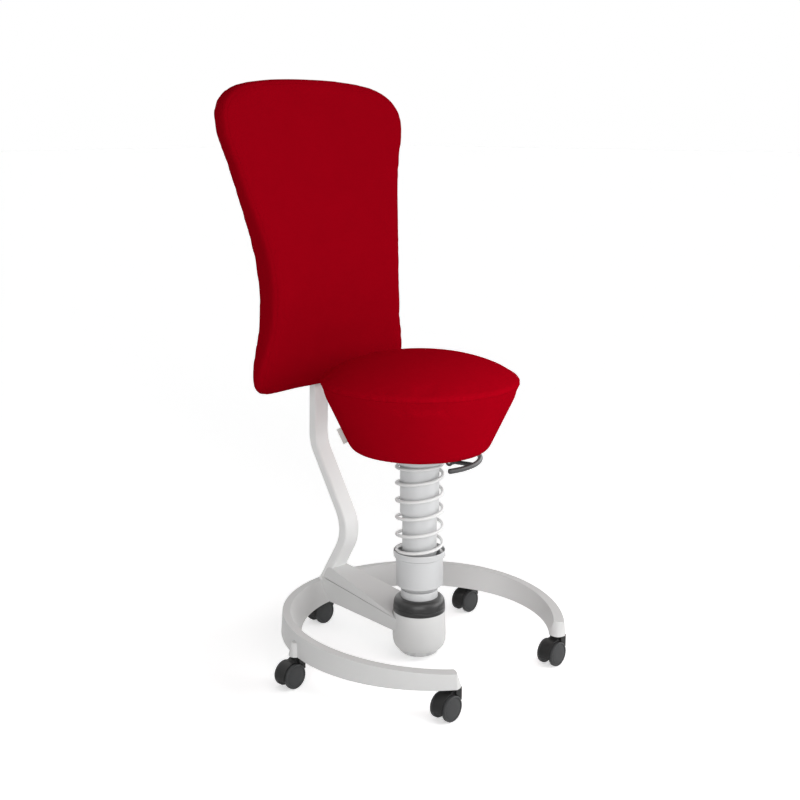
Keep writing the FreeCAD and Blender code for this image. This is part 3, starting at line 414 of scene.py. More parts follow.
def hardFinish(name, look):
    material, tree = emptyMaterial(name)
    skin = useGroup(tree, groups["grain"], {
        "Color": (*look["color"], 1), "Drift": look["drift"], "Roughness": look["rough"],
        "Spread": look["spread"], "Scale": float(look["grain"])})
    rubbed = useGroup(tree, groups["rub"], {
        "Color": skin["Color"], "Bare": (*look["bare"], 1), "Amount": look["rub"]})
    dusty = useGroup(tree, groups["dust"], {"Color": rubbed["Color"], "Amount": look["dust"]})
    height = skin["Height"]
    if "marks" in look:
        rings = useGroup(tree, groups["marks"], {"Scale": float(look["marks"])})
        height = calc(tree, "ADD", height, rings["Height"])
    closeTree(tree, look, height, {
        "Base Color": dusty["Color"], "Roughness": skin["Roughness"], "Metallic": look["metal"],
        "Specular IOR Level": look["spec"]})
    return material


plainCloth = {"color": (0.250, 0.0004, 0.0052), "pitch": 0.0008, "nap": 0.12, "bump": 0.22,
              "bumpDepth": 0.0004, "rough": 0.95, "sheen": (0.8, 0.004, 0.02), "sheenWeight": 0.06,
              "sheenRough": 0.5}
cloths = {
    "red_fabric": {},
    # the seat's cloth is the same red fabric made lighter: painted light for the stronger light on the seat
    "seat_cloth_painted_light": {"color": (0.320, 0.0005, 0.0064)},
    "tag_ribbon": {"color": (0.62, 0.61, 0.59), "pitch": 0.0005, "nap": 0.1, "bump": 0.3, "sheen": grey(0.8)},
    "red_thread": {"color": (0.25, 0.0004, 0.005), "pitch": 0.0003, "nap": 0.2, "bump": 0.3},
}


def clothFinish(name, own):
    look = {**plainCloth, **own}
    material, tree = emptyMaterial(name)
    woven = useGroup(tree, groups["weave"], {
        "Color": (*look["color"], 1), "Pitch": look["pitch"], "Nap": look["nap"]})
    closeTree(tree, look, woven["Height"], {
        "Base Color": woven["Color"], "Roughness": look["rough"], "Specular IOR Level": 0.0,
        "Sheen Weight": look["sheenWeight"], "Sheen Roughness": look["sheenRough"],
        "Sheen Tint": (*look["sheen"], 1)})
    return material


finishes = {name: hardFinish(name, look) for name, look in looks.items()}
finishes.update({name: clothFinish(name, look) for name, look in cloths.items()})
print("finishes ready:", len(finishes))


def dress(obj, slotName, body, replaced=(), finish=None):
    obj.data.materials.clear()
    obj.data.materials.append(finishes[finish or slotName])
    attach(obj, body)
    if replaced:
        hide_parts(*replaced)
    return obj


# CAD nodes that stay as they are get the finish of their slot, a few in view get a better one
slotOf = {row["node"]: row["material_slot"] for row in frame["record"]["subparts"]}
slotOf.update({"guide_tube": "column_metal", "stand_tube": "column_metal", "back_bracket": "stem_coat"})
for name, node in cadNodes.items():
    node.data.materials.clear()
    node.data.materials.append(finishes[slotOf[name]])
print("carried nodes dressed:", len(cadNodes))


# foot ring: an oval, open at the front, with drafted walls
ring = {"semiX": 280.3, "semiY": 293.5, "shift": 9.0, "topWidth": 17.2, "flareOut": 3.5, "flareIn": 13.5,
        "rearWeb": 13.5, "bottom": 60.0, "top": 104.3, "frontDrop": 14.0, "rearDrop": 1.9,
        "endAngle": 34.6, "bulgeTop": 2.0, "bulgeFoot": 12.0, "sections": 176, "across": 8, "up": 5,
        "edge": 0.9}
castor = {"count": 5, "circle": 281.0, "trail": 14.5, "wheelRadius": 25.0}


def castorPlaces():
    places = []
    for i in range(castor["count"]):
        a = radians((i + 0.5) * 360 / castor["count"])
        places.append((castor["circle"] * sin(a), -castor["circle"] * cos(a)))
    return places


# distance from the column to an oval, the angle counted from the front
def ovalReach(grow, angle, web=0.0):
    a, b = ring["semiY"] + grow - web / 2, ring["semiX"] + grow
    shift = ring["shift"] + web / 2
    c, s = cos(angle), sin(angle)
    k = (c / a) ** 2 + (s / b) ** 2
    h = c * shift / a ** 2
    return (h + sqrt(h * h + k * (1 - (shift / a) ** 2))) / k


def ringTopArc():
    rear = (ring["semiY"] - ring["shift"], ring["top"] - ring["rearDrop"])
    front = (-ring["semiY"] * cos(pi / 5), ring["top"] - ring["frontDrop"])
    (ax, ay), (bx, by), (cx, cy) = rear, (0.0, ring["top"]), front
    d = 2 * (ax * (by - cy) + bx * (cy - ay) + cx * (ay - by))
    a2, b2, c2 = ax * ax + ay * ay, bx * bx + by * by, cx * cx + cy * cy
    x = (a2 * (by - cy) + b2 * (cy - ay) + c2 * (ay - by)) / d
    y = (a2 * (cx - bx) + b2 * (ax - cx) + c2 * (bx - ax)) / d
    return x, y, hypot(ax - x, ay - y)


ringArc = ringTopArc()


def ringTopHeight(y):
    middle, low, size = ringArc
    return low + sqrt(size ** 2 - (y - middle) ** 2)


# u runs from the outer wall to the inner one, v from the foot to the top
def ringPoint(angle, u, v):
    tall = ring["top"] - ring["bottom"]
    foot = (ovalReach(ring["flareOut"], angle),
            ovalReach(-ring["topWidth"] - ring["flareIn"], angle, ring["rearWeb"]))
    head = (ovalReach(0, angle), ovalReach(-ring["topWidth"], angle))

    def reachAt(z):
        t = (z - ring["bottom"]) / tall
        outer, inner = [f + (h - f) * t for f, h in zip(foot, head)]
        return outer + (inner - outer) * u

    high = ring["top"]
    for _ in range(3):
        high = ringTopHeight(-reachAt(high) * cos(angle))
    z = ring["bottom"] + (high - ring["bottom"]) * v
    r = reachAt(z)
    return Vector((r * sin(angle), -r * cos(angle), z))


def buildRing():
    n, m, last = ring["across"], ring["up"], ring["sections"]
    around = [(i, 0) for i in range(n + 1)] + [(n, j) for j in range(1, m)]
    around += [(n - i, m) for i in range(n + 1)] + [(0, m - j) for j in range(1, m)]
    first = radians(ring["endAngle"])
    span = 2 * pi - 2 * first

    # the two end faces bulge forward, the sections between them stay flat
    def spot(k, i, j):
        angle = first + span * k / last
        u, v = i / n, j / m
        out = ring["bulgeFoot"] + (ring["bulgeTop"] - ring["bulgeFoot"]) * v
        ahead = Vector((cos(angle), sin(angle), 0)) * {0: -1, last: 1}.get(k, 0)
        return ringPoint(angle, u, v) + ahead * out * (1 - (2 * u - 1) ** 2)

    verts = [spot(k, i, j) for k in range(last + 1) for i, j in around]
    loop = len(around)
    faces = tubeFaces(last + 1, loop)
    for k in (0, last):
        index = {step: k * loop + i for i, step in enumerate(around)}
        for j in range(1, m):
            for i in range(1, n):
                index[(i, j)] = len(verts)
                verts.append(spot(k, i, j))
        for j in range(m):
            for i in range(n):
                faces.append([index[s] for s in ((i, j), (i + 1, j), (i + 1, j + 1), (i, j + 1))])
    return softEdges(meshPiece("footRing", verts, faces), ring["edge"])


dress(buildRing(), "frame_coat", "base", ["foot_ring"])

# half-round pads on the ring over the side and rear castors
pad = {"radius": 13.0, "draft": 5.5, "tall": 28.3, "lift": 0.2, "footEdge": 0.5, "topEdge": 2.5}
for i, (x, y) in enumerate(castorPlaces()[1:-1]):
    low, high = ring["bottom"] + pad["lift"], ring["bottom"] + pad["tall"]
    piece = turnedPiece("ringPad%d" % (i + 1), [
        (0, low), (pad["radius"], low, pad["footEdge"]),
        (pad["radius"] - pad["draft"], high, pad["topEdge"]), (0, high)], 40)
    piece.location = (x * mm, y * mm, 0)
    dress(piece, "frame_coat", "base", ["foot_ring"])

# hub at the middle of the ring
hub = {"radius": 55.0, "topRadius": 53.4, "top": 101.4, "wallFoot": 48.0, "footRadius": 44.8,
       "bottom": 22.5, "floor": 44.0, "bore": 45.0, "lowerBore": 40.0, "ledge": 70.0, "rimWall": 2.7,
       "rimDepth": 10.0, "shank": 8.3}


def hubOutline():
    out = [(hub["shank"], hub["bottom"]), (hub["footRadius"], hub["bottom"], 1.2)]
    side, drop = hub["radius"] - hub["footRadius"], hub["wallFoot"] - hub["bottom"]
    for k in range(1, 13):
        a = radians(90 * k / 12)
        out.append((hub["footRadius"] + side * sin(a), hub["wallFoot"] - drop * cos(a)))
    rim = hub["topRadius"] - hub["rimWall"]
    shelf = hub["top"] - hub["rimDepth"]
    out += [(hub["topRadius"], hub["top"], 0.9), (rim, hub["top"], 0.6), (rim, shelf), (hub["bore"], shelf),
            (hub["bore"], hub["ledge"]), (hub["lowerBore"], hub["ledge"]), (hub["lowerBore"], hub["floor"]),
            (hub["shank"], hub["floor"])]
    return out


dress(turnedPiece("hubBowl", hubOutline(), 128), "frame_coat", "base", ["foot_ring"])

# arm between ring and hub, its top is the seam on which the stem's foot lies
arm = {"rear": 262.0, "rearHalf": 24.7, "bottom": 61.5, "seamZ": 92.0, "seamY": 55.0, "slope": 0.0931,
       "nose": 53.0, "noseFrom": 8, "noseSpan": 164, "edge": 1.3}


def seamHeight(y):
    return arm["seamZ"] + arm["slope"] * (y - arm["seamY"])


def armHalf(y):
    return hub["radius"] - (hub["radius"] - arm["rearHalf"]) / arm["rear"] * y


def buildArm():
    plan = [(armHalf(arm["rear"]), arm["rear"])]
    for k in range(25):
        a = radians(arm["noseFrom"] + arm["noseSpan"] * k / 24)
        plan.append((arm["nose"] * cos(a), arm["nose"] * sin(a)))
    plan.append((-armHalf(arm["rear"]), arm["rear"]))
    count = len(plan)
    verts = [(x, y, arm["bottom"]) for x, y in plan] + [(x, y, seamHeight(y)) for x, y in plan]
    faces = [list(range(count)), list(range(count, 2 * count))] + tubeFaces(2, count)
    return softEdges(meshPiece("ringArm", verts, faces), arm["edge"])


dress(buildArm(), "frame_coat", "base", ["foot_ring"])
print("foot ring, pads, hub and arm built")

# knob under the hub, with finger notches round its rim
knob = {"radius": 42.5, "foot": 38.0, "low": 11.5, "top": 22.1, "rim": 5.0, "shank": 7.8, "shankTop": 43.6,
        "notches": 8, "notchDeep": 2.8, "notchHalf": 6.5}


def buildKnob():
    piece = turnedPiece("swayKnob", [
        (0, knob["low"]), (knob["foot"], knob["low"], 3.0), (knob["radius"], knob["top"] - knob["rim"], 3.0),
        (knob["radius"], knob["top"], 0.6), (knob["shank"], knob["top"]),
        (knob["shank"], knob["shankTop"]), (0, knob["shankTop"])], 176)
    step = 2 * pi / knob["notches"]
    for vertex in piece.data.vertices:
        reach = hypot(vertex.co.x, vertex.co.y) / mm
        if reach > knob["foot"]:
            a = atan2(vertex.co.y, vertex.co.x) % step - step / 2
            share = max(0.0, 1 - (a * knob["radius"] / knob["notchHalf"]) ** 2)
            grow = 1 - knob["notchDeep"] * share / reach
            vertex.co.x *= grow
            vertex.co.y *= grow
    return piece


dress(buildKnob(), "knob_plastic", "knob", ["sway_knob"])

# turned core of the column: radius, lower end and the rounding at both ends of each step
core = {"stub": (10.0, 58.0, 0.6, 0), "block": (27.0, 100.0, 2.0, 2.0), "shaft": (18.0, 116.0, 0, 0),
        "collar": (30.0, 124.0, 0.5, 0), "neck": (38.0, 130.6, 0.6, 0.8), "spigot": (20.0, 147.0, 0, 0),
        "plug": (31.6, 166.2, 0, 0.6), "end": (0, 172.2, 0, 0)}


def coreOutline():
    rows = list(core.values())
    out = [(0, rows[0][1])]
    for (radius, low, lowRound, highRound), after in zip(rows, rows[1:]):
        out += [(radius, low, lowRound), (radius, after[1], highRound)]
    return out + [(0, rows[-1][1])]


dress(turnedPiece("columnNeck", coreOutline(), 112), "column_metal", "column", ["column_spigot"])

# rubber boot: a full dome between the neck and the rim seal
boot = {"top": 131.6, "middle": 111.8, "low": 103.0, "radius": 52.9, "skirt": 49.6, "wall": 4.2,
        "bow": 0.7, "tuck": 1.5, "thin": 0.3}


def bootOutline():
    rise, run = boot["top"] - boot["middle"], boot["radius"] - core["neck"][0] + boot["tuck"]
    outer, inner = [], []
    for k in range(13):
        a = pi / 2 * k / 12
        r = boot["radius"] - run * (1 - cos(a) ** boot["bow"])
        z = boot["middle"] + rise * sin(a) ** boot["bow"]
        outer.append((r, z))
        inner.append((r - boot["wall"] * max(cos(a), boot["thin"]), z - boot["wall"] * sin(a)))
    skirt, low = boot["skirt"], boot["low"]
    foot = [(skirt - boot["wall"], low, 0.6), (skirt, low, 0.6), (skirt, boot["middle"] - 0.6, 0.4)]
    return foot + outer + inner[::-1]


dress(turnedPiece("bootDome", bootOutline(), 112), "boot_rubber", "column", ["boot_dome"])
print("knob, neck and boot turned")

# backrest stem: bent flat bar on a wedge-shaped foot
stem = {"thick": 20.5, "front": [(232.3, 136.5), (178.6, 228.2), (282.8, 410.9), (279.2, 524.8)],
        "half": [23.8, 20.0, 19.5, 19.8], "top": (287.0, 696.0), "bend": 84.0, "foot": 95.0, "rise": 0.214,
        "rear": 258.0, "edge": 3.6, "footEdge": 0.9, "slit": 1.6, "gap": 0.3}


def offsetLine(points, distance):
    out = []
    for i, p in enumerate(points):
        normals = []
        for a, b in ((i - 1, i), (i, i + 1)):
            if a >= 0 and b < len(points):
                along = (Vector(points[b][:2]) - Vector(points[a][:2])).normalized()
                normals.append(Vector((along.y, -along.x)))
        mean = sum(normals, Vector((0, 0))) / len(normals)
        out.append(tuple(Vector(p[:2]) + mean * (distance / mean.length_squared)) + tuple(p[2:]))
    return out


def stemHalf(z):
    rows = list(zip([p[1] for p in stem["front"]], stem["half"]))
    for (z0, h0), (z1, h1) in zip(rows, rows[1:]):
        if z0 <= z <= z1:
            return h0 + (h1 - h0) * (z - z0) / (z1 - z0)
    return rows[0][1] if z < rows[0][0] else rows[-1][1]


def buildStemBar():
    line = stem["front"][:1] + [(y, z, stem["bend"]) for y, z in stem["front"][1:]] + [stem["top"]]
    rows = [rounded(side, False, 12) for side in (line, offsetLine(line, stem["thick"]))]
    for row in rows:
        row[0] = row[1] + (row[0] - row[1]) * ((stem["foot"] - row[1].y) / (row[0].y - row[1].y))
    bar = flatBar(*rows, lambda side, spot: (side * stemHalf(spot[1]), spot[0], spot[1]))
    return softEdges(meshPiece("stemBar", *bar), stem["edge"])


def wedgeTop(y):
    return stem["front"][0][1] - stem["rise"] * (stem["front"][0][0] - y)


def buildStemFoot():
    columns, rows = 16, 14
    slim = armHalf(stem["front"][0][0]) - stem["half"][0]
    clear = hub["radius"] + stem["gap"]
    verts = []
    sheets = ((0, stem["rear"], lambda y: seamHeight(y) + stem["slit"]),
              (slim, stem["rear"] - stem["thick"] / 2, wedgeTop))
    for trim, rear, height in sheets:
        for c in range(columns + 1):
            share = 2 * c / columns - 1
            start = clear
            for _ in range(12):
                across = share * (armHalf(start) - trim)
                start = sqrt(max(clear ** 2 - across ** 2, 1.0))
            for r in range(rows + 1):
                y = start + (rear - start) * r / rows
                verts.append((share * (armHalf(y) - trim), y, height(y)))
    per = rows + 1
    half = per * (columns + 1)
    edges = [(c * per + r, per) for c in range(columns) for r in (0, rows)]
    edges += [(c * per + r, 1) for r in range(rows) for c in (0, columns)]
    faces = doubleSheet(columns + 1, per)
    faces += [(a, a + step, half + a + step, half + a) for a, step in edges]
    return softEdges(meshPiece("stemFoot", verts, faces), stem["footEdge"], 2, 30, False)


dress(buildStemBar(), "stem_coat", "base", ["backrest_stem"])
# the stem's foot takes the darker frame coat, not the stem's own: painted shade for the seat's shadow on its
# top
dress(buildStemFoot(), "stem_coat", "base", ["backrest_stem"], "frame_coat")
print("stem built")

# spring: closed ends, evenly wound between them
spring = {"wire": 6.8, "outer": 50.1, "turns": 6.0, "ease": 0.9, "endPitch": 8.0, "start": -48.3,
          "length": 198.5, "seat": 218.5, "gap": 0.3, "perTurn": 44, "sides": 16, "bounce": 45.0}


def coilPoint(u):
    radius = spring["outer"] - spring["wire"] / 2
    slack = spring["wire"] * spring["endPitch"] / (2 * pi * radius)
    total = spring["length"] - spring["wire"] - 2 * spring["gap"] - 2 * slack
    ease, endPitch, turns = spring["ease"], spring["endPitch"], spring["turns"]
    pitch = (total - ease * endPitch) / (turns - ease)

    def rise(t):
        if t > turns / 2:
            return total - rise(turns - t)
        if t < ease:
            return endPitch * t + (pitch - endPitch) * t * t / (2 * ease)
        return ease * (endPitch + pitch) / 2 + pitch * (t - ease)

    a = radians(spring["start"]) + 2 * pi * u
    base = spring["seat"] + spring["gap"] + slack + spring["wire"] / 2
    return (radius * cos(a), radius * sin(a), base + rise(u))


steps = int(spring["turns"] * spring["perTurn"])
coilPath = [coilPoint(spring["turns"] * i / steps) for i in range(steps + 1)]
coil = meshPiece("coilSpring", *barMesh(coilPath, spring["wire"] / 2, spring["sides"]), 50)
dress(coil, "spring_coat", "column", ["coil_spring"])
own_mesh(coil)
print("spring wound:", len(coilPath), "rows")

# release lever: curved grip on a straight arm
lever = {"radius": 5.2, "armRadius": 4.3, "z": 425.0, "reach": 121.0, "span": 34.0, "turn": 13.0,
         "pivot": 70.0, "tail": 13.0}


def buildLever():
    grip = []
    for k in range(33):
        a = radians(-lever["span"] + 2 * lever["span"] * k / 32)
        grip.append((lever["reach"] * sin(a), -lever["reach"] * cos(a), lever["z"]))
    near = lever["pivot"] - lever["tail"]
    shaft = [(0, -near - (lever["reach"] - near) * k / 8, lever["z"]) for k in range(9)]
    turn = Matrix.Rotation(radians(lever["turn"]), 3, "Z")
    verts, faces = joinMeshes([barMesh(grip, lever["radius"], 24, 0.45),
                               barMesh(shaft, lever["armRadius"], 20, 0.4)])
    return meshPiece("releaseLever", [turn @ Vector(v) for v in verts], faces, 50)


dress(buildLever(), "lever_coat", "lever", ["release_lever"])
print("lever bent")


# padded pieces: voxel skin, its steps evened out, blown up as cloth, moves capped, then kept
simFrames = 20


def keepResult(obj):
    graph = bpy.context.evaluated_depsgraph_get()
    mesh = bpy.data.meshes.new_from_object(obj.evaluated_get(graph))
    obj.modifiers.clear()
    old = obj.data
    obj.data = mesh
    bpy.data.meshes.remove(old)


def blowUp(obj, pad, held):
    for kind, settings in (("REMESH", {"mode": "VOXEL", "voxel_size": pad["voxel"] * mm}),
                           ("SMOOTH", {"factor": 0.5, "iterations": pad["even"]})):
        adjust(obj.modifiers.new(kind.lower(), kind), settings)
        keepResult(obj)
    rest = [v.co.copy() for v in obj.data.vertices]
    pins = obj.vertex_groups.new(name="held")
    for i, co in enumerate(rest):
        if held(co / mm):
            pins.add([i], 1.0, "REPLACE")
    sim = obj.modifiers.new("padding", "CLOTH")
    adjust(sim.settings, {
        "quality": 5, "mass": 0.3, "tension_stiffness": pad["tension"],
        "compression_stiffness": pad["tension"], "shear_stiffness": pad["tension"] / 2,
        "bending_stiffness": pad["bending"], "use_pressure": True,
        "uniform_pressure_force": pad["pressure"], "vertex_group_mass": "held"})
    sim.settings.effector_weights.gravity = 0
    sim.collision_settings.use_collision = False
    adjust(sim.point_cache, {"frame_start": 1, "frame_end": simFrames})
    for f in range(1, simFrames + 1):
        scene.frame_set(f)
    keepResult(obj)
    scene.frame_set(1)
    for vertex, start in zip(obj.data.vertices, rest):
        move = vertex.co - start
        if move.length > pad["cap"] * mm:
            vertex.co = start + move.normalized() * pad["cap"] * mm


def finishSkin(obj):
    smoothShade(obj.data, 0)
    adjust(obj.modifiers.new("fine", "SUBSURF"), {"levels": 1, "render_levels": 1})


# round seat: crowned top, sewn rim, sides drawn in to the foot
seat = {"rim": 200.0, "rimZ": 585.0, "rimRound": 8.0, "depth": 143.5, "slope": 0.455, "footRound": 21.0,
        "crown": 50.0, "power": 2.5, "panFoot": 112.3, "panWall": 66.3, "panTop": 150.3, "panUnder": 567.7,
        "panHigh": 576.3, "footUp": 446.8, "inset": 0.6, "footInset": 0.3, "grow": 2.6, "rimEdge": 5.0,
        "rimLift": 1.0, "hold": 4.0, "holdFoot": 6.0, "stitchDrop": 7.0,
        "pad": {"voxel": 6.0, "even": 2, "pressure": 4.0, "tension": 12.0, "bending": 0.6, "cap": 2.4}}


def seatOutline():
    inset = seat["inset"]
    side = seat["grow"] - inset
    bottom = seat["rimZ"] - seat["depth"] + inset * seat["footInset"]
    foot = seat["rim"] - seat["slope"] * seat["depth"]
    out = []
    for k in range(17):
        r = (seat["rim"] - seat["rimRound"]) * k / 16
        z = seat["rimZ"] + seat["crown"] * (1 - (r / seat["rim"]) ** seat["power"])
        out.append((r * (1 + side / seat["rim"]), z - inset))
    out += [(seat["rim"] + side, seat["rimZ"] + seat["rimLift"] - inset, seat["rimEdge"]),
            (foot + side, bottom, seat["footRound"]), (seat["panFoot"], bottom),
            (seat["panFoot"], seat["footUp"]), (seat["panWall"], seat["footUp"]),
            (seat["panWall"], seat["panUnder"]), (seat["panTop"], seat["panUnder"]),
            (seat["panTop"], seat["panHigh"]), (0, seat["panHigh"])]
    return out


def seatHeld(co):
    r = hypot(co.x, co.y)
    inside = r < seat["panFoot"] + seat["holdFoot"]
    under = r < seat["panTop"] + seat["hold"] and co.z > seat["panUnder"] - seat["hold"]
    return (inside or under) and co.z < seat["panHigh"] + seat["hold"]


seatPad = turnedPiece("seatCushion", seatOutline(), 160, 6, 0)
blowUp(seatPad, seat["pad"], seatHeld)
finishSkin(seatPad)
# the seat wears the lighter copy of the red fabric: painted light
dress(seatPad, "red_fabric", "seat", ["seat_cushion"], "seat_cloth_painted_light")
print("seat cushion:", len(seatPad.data.vertices), "points")

# backrest: one upholstered cover round the front cushion and the rear pad
back = {"bottom": 542.0, "top": 1162.0, "wrap": 16.0, "wrapHalf": 210.0, "middle": 840.0,
        "side": [(110.0, 1158.0), (192.0, 1144.0), (236.0, 1114.0), (246.5, 1068.0), (228.0, 1000.0),
                 (203.0, 902.0), (187.0, 825.0), (181.0, 755.0), (185.5, 678.0), (199.0, 620.0),
                 (205.5, 580.0), (195.0, 552.0), (165.0, 543.5), (80.0, 542.5)],
        "front": [(540.0, 243.0), (601.0, 229.0), (678.0, 216.5), (750.0, 213.0), (836.0, 223.0),
                  (963.0, 256.0), (1088.0, 281.0), (1175.0, 298.0)],
        "rear": [(540.0, 264.0), (640.0, 265.0), (720.0, 265.0), (810.0, 270.5), (963.0, 295.0),
                 (1088.0, 318.0), (1175.0, 335.0)],
        "round": 10.0, "inset": -4.6, "rearRound": 4.0, "crease": 1.6, "creaseHalf": 8.0, "creaseIn": 1.15,
        "heldHalf": 70.0, "heldTop": 720.0,
        "pad": {"voxel": 6.0, "even": 6, "pressure": 4.0, "tension": 15.0, "bending": 1.0, "cap": 2.2}}


# smooth line through points, as z -> y
def throughPoints(rows):
    xs, ys = [r[0] for r in rows], [r[1] for r in rows]
    count = len(xs)
    slopes = []
    for i in range(count):
        a, b = max(i - 1, 0), min(i + 1, count - 1)
        slopes.append((ys[b] - ys[a]) / (xs[b] - xs[a]))

    def at(x):
        x = min(max(x, xs[0]), xs[-1])
        i = max(k for k in range(count - 1) if xs[k] <= x)
        w = xs[i + 1] - xs[i]
        t = (x - xs[i]) / w
        return (ys[i] * (2 * t ** 3 - 3 * t ** 2 + 1) + ys[i + 1] * (3 * t ** 2 - 2 * t ** 3)
                + w * slopes[i] * (t ** 3 - 2 * t ** 2 + t) + w * slopes[i + 1] * (t ** 3 - t ** 2))

    return at


backFront, backRear = throughPoints(back["front"]), throughPoints(back["rear"])


def closedLine(points, steps):
    out = []
    count = len(points)
    for i in range(count):
        p0, p1, p2, p3 = [Vector(points[(i + k) % count]) for k in (-1, 0, 1, 2)]
        for k in range(steps):
            t = k / steps
            out.append(0.5 * (2 * p1 + (p2 - p0) * t + (2 * p0 - 5 * p1 + 4 * p2 - p3) * t * t
                              + (3 * p1 - p0 - 3 * p2 + p3) * t ** 3))
    return out


def backOutline():
    right = back["side"]
    loop = [(0, back["top"])] + right + [(0, back["bottom"])] + [(-x, z) for x, z in right[::-1]]
    return closedLine(loop, 8)


def insetLine(points, distance):
    out = []
    count = len(points)
    for i, p in enumerate(points):
        along = (points[(i + 1) % count] - points[i - 1]).normalized()
        out.append(p + Vector((along.y, -along.x)) * distance)
    return out


def wrapAt(x):
    return back["wrap"] * (1 - (x / back["wrapHalf"]) ** 2)


# rings from the middle of the front over the edge to the middle of the rear
def buildBack():
    outline = backOutline()
    edge, rim, rearRim = back["inset"], back["round"], back["rearRound"]
    centre = Vector((0, back["middle"]))
    shares = [0.2, 0.4, 0.6, 0.8, 0.92]
    verts = []

    def addRing(line, surface, depth):
        verts.extend((p.x, surface(p.y) + depth + wrapAt(p.x), p.y) for p in line)

    def addPanel(inset, surface, shares):
        inner = insetLine(outline, inset)
        for s in shares:
            addRing([centre + (p - centre) * s for p in inner], surface, 0)

    addPanel(edge + rim, backFront, shares)
    for k in range(9):
        a = radians(90 * k / 8)
        addRing(insetLine(outline, edge + rim * (1 - sin(a))), backFront, rim * (1 - cos(a)))
    for k in range(7):
        a = radians(90 - 90 * k / 6)
        line = insetLine(outline, edge + rearRim * (1 - sin(a)))
        addRing(line, backRear, -rearRim * (1 - cos(a)))
    addPanel(edge + rearRim, backRear, shares[::-1])
    count = len(outline)
    total = len(verts) // count
    faces = tubeFaces(total, count)
    for r, surface in ((0, backFront), (total - 1, backRear)):
        middle = len(verts)
        verts.append((0, surface(centre.y) + wrapAt(0), centre.y))
        faces += [(r * count + i, r * count + (i + 1) % count, middle) for i in range(count)]
    return meshPiece("backrestCover", verts, faces, 0)


def onRear(co):
    return co.y > (backFront(co.z) + backRear(co.z)) / 2 + wrapAt(co.x)


def backHeld(co):
    return onRear(co) and abs(co.x) < back["heldHalf"] and co.z < back["heldTop"]


# the front panel's seam: a soft crease that follows the edge
def creaseLine():
    return insetLine(backOutline(), back["inset"] + back["round"] * back["creaseIn"])


def pressCrease(obj):
    line = creaseLine()
    tree = KDTree(len(line))
    for i, p in enumerate(line):
        tree.insert((p.x, 0, p.y), i)
    tree.balance()
    for vertex in obj.data.vertices:
        spot = vertex.co / mm
        away = tree.find((spot.x, 0, spot.z))[2]
        if away < back["creaseHalf"] and not onRear(spot):
            vertex.co.y += back["crease"] * mm * cos(pi / 2 * away / back["creaseHalf"]) ** 2


backPad = buildBack()
blowUp(backPad, back["pad"], backHeld)
pressCrease(backPad)
finishSkin(backPad)
dress(backPad, "red_fabric", "base", ["backrest_cushion", "backrest_rear_pad"])
print("backrest cover:", len(backPad.data.vertices), "points")


# sewing: short thread stitches laid on a finished cover, along a line near it
def stitchRow(name, cover, line, body, pitch=5.0, length=3.4, thick=0.45):
    bpy.context.view_layer.update()
    graph = bpy.context.evaluated_depsgraph_get()
    skin = BVHTree.FromObject(cover, graph)
    parts = []
    walked, due = 0.0, 0.0
    for a, b in zip(line, line[1:] + line[:1]):
        span = (b - a).length
        while due < walked + span:
            along = (b - a).normalized()
            middle = a + along * (due - walked)
            spots = []
            for share, lift in ((-0.5, -0.25), (0, 0.3), (0.5, -0.25)):
                at, normal, _, _ = skin.find_nearest((middle + along * length * share) * mm)
                spots.append(at / mm + normal * lift)
            parts.append(barMesh(spots, thick, 6, 0.5))
            due += pitch
        walked += span
    return dress(meshPiece(name, *joinMeshes(parts), 0), "red_fabric", body, [], "red_thread")


panelLine = [Vector((p.x, backFront(p.y) + wrapAt(p.x), p.y)) for p in creaseLine()]
stitchRow("backStitches", backPad, panelLine, "base")
rimLine = []
seamZ = seat["rimZ"] - seat["stitchDrop"]
for k in range(180):
    a = 2 * pi * k / 180
    rimLine.append(Vector((seat["rim"] * cos(a), seat["rim"] * sin(a), seamZ)))
stitchRow("seatStitches", seatPad, rimLine, "seat")

# blank ribbon tag, folded double and sewn into the seat's side
tag = {"turn": 139.0, "low": 460.0, "high": 490.0, "out": 10.5, "sink": 2.0, "ply": 0.6, "curl": 1.3}


def buildTag():
    a = radians(tag["turn"])
    outward, sideways = Vector((cos(a), sin(a), 0)), Vector((-sin(a), cos(a), 0))
    lean = atan(seat["slope"])
    normal = outward * cos(lean) - Vector((0, 0, 1)) * sin(lean)
    rows, columns = 9, 7
    verts = []
    for ply in (-1, 1):
        for r in range(rows):
            z = tag["low"] + (tag["high"] - tag["low"]) * r / (rows - 1)
            foot = outward * (seat["rim"] - seat["slope"] * (seat["rimZ"] - z)) + Vector((0, 0, z))
            for c in range(columns):
                share = c / (columns - 1)
                fold = tag["ply"] * sqrt(max(0.0, 1 - share ** 6))
                bend = tag["curl"] * share ** 2 * cos(3.0 * r / (rows - 1))
                reach = -tag["sink"] + (tag["out"] + tag["sink"]) * share
                verts.append(foot + normal * reach + sideways * (ply * fold + bend))
    return meshPiece("blankTag", verts, doubleSheet(rows, columns), 0)


dress(buildTag(), "red_fabric", "seat", [], "tag_ribbon")
print("stitches and tag sewn")

# castors: a hood over two wheels, a web between them and a block round the stem
castorShape = {"hoodIn": 25.7, "hoodOut": 27.4, "hoodHalf": 12.2, "hoodFrom": 58.0, "hoodTo": 193.0,
               "webRadius": 17.5, "webHalf": 10.0, "blockRear": -2.0, "blockFront": 14.5, "blockHalf": 14.5,
               "blockFoot": 33.0, "blockTop": 59.7, "clear": 26.1, "edge": 1.1, "bridgeIn": 3.0,
               "bridgeDrop": 2.0, "bridgeRise": 0.6, "wheelIn": 10.8, "wheelOut": 19.2,
               "tread": 2.6, "disc": 20.6, "bore": 3.1}


# closed outline (x, z) carried across from y = -half to y = +half
def acrossMesh(outline, half):
    count = len(outline)
    verts = [(x, s * half, z) for s in (-1, 1) for x, z in outline]
    return verts, [list(range(count)), list(range(2 * count - 1, count - 1, -1))] + tubeFaces(2, count)


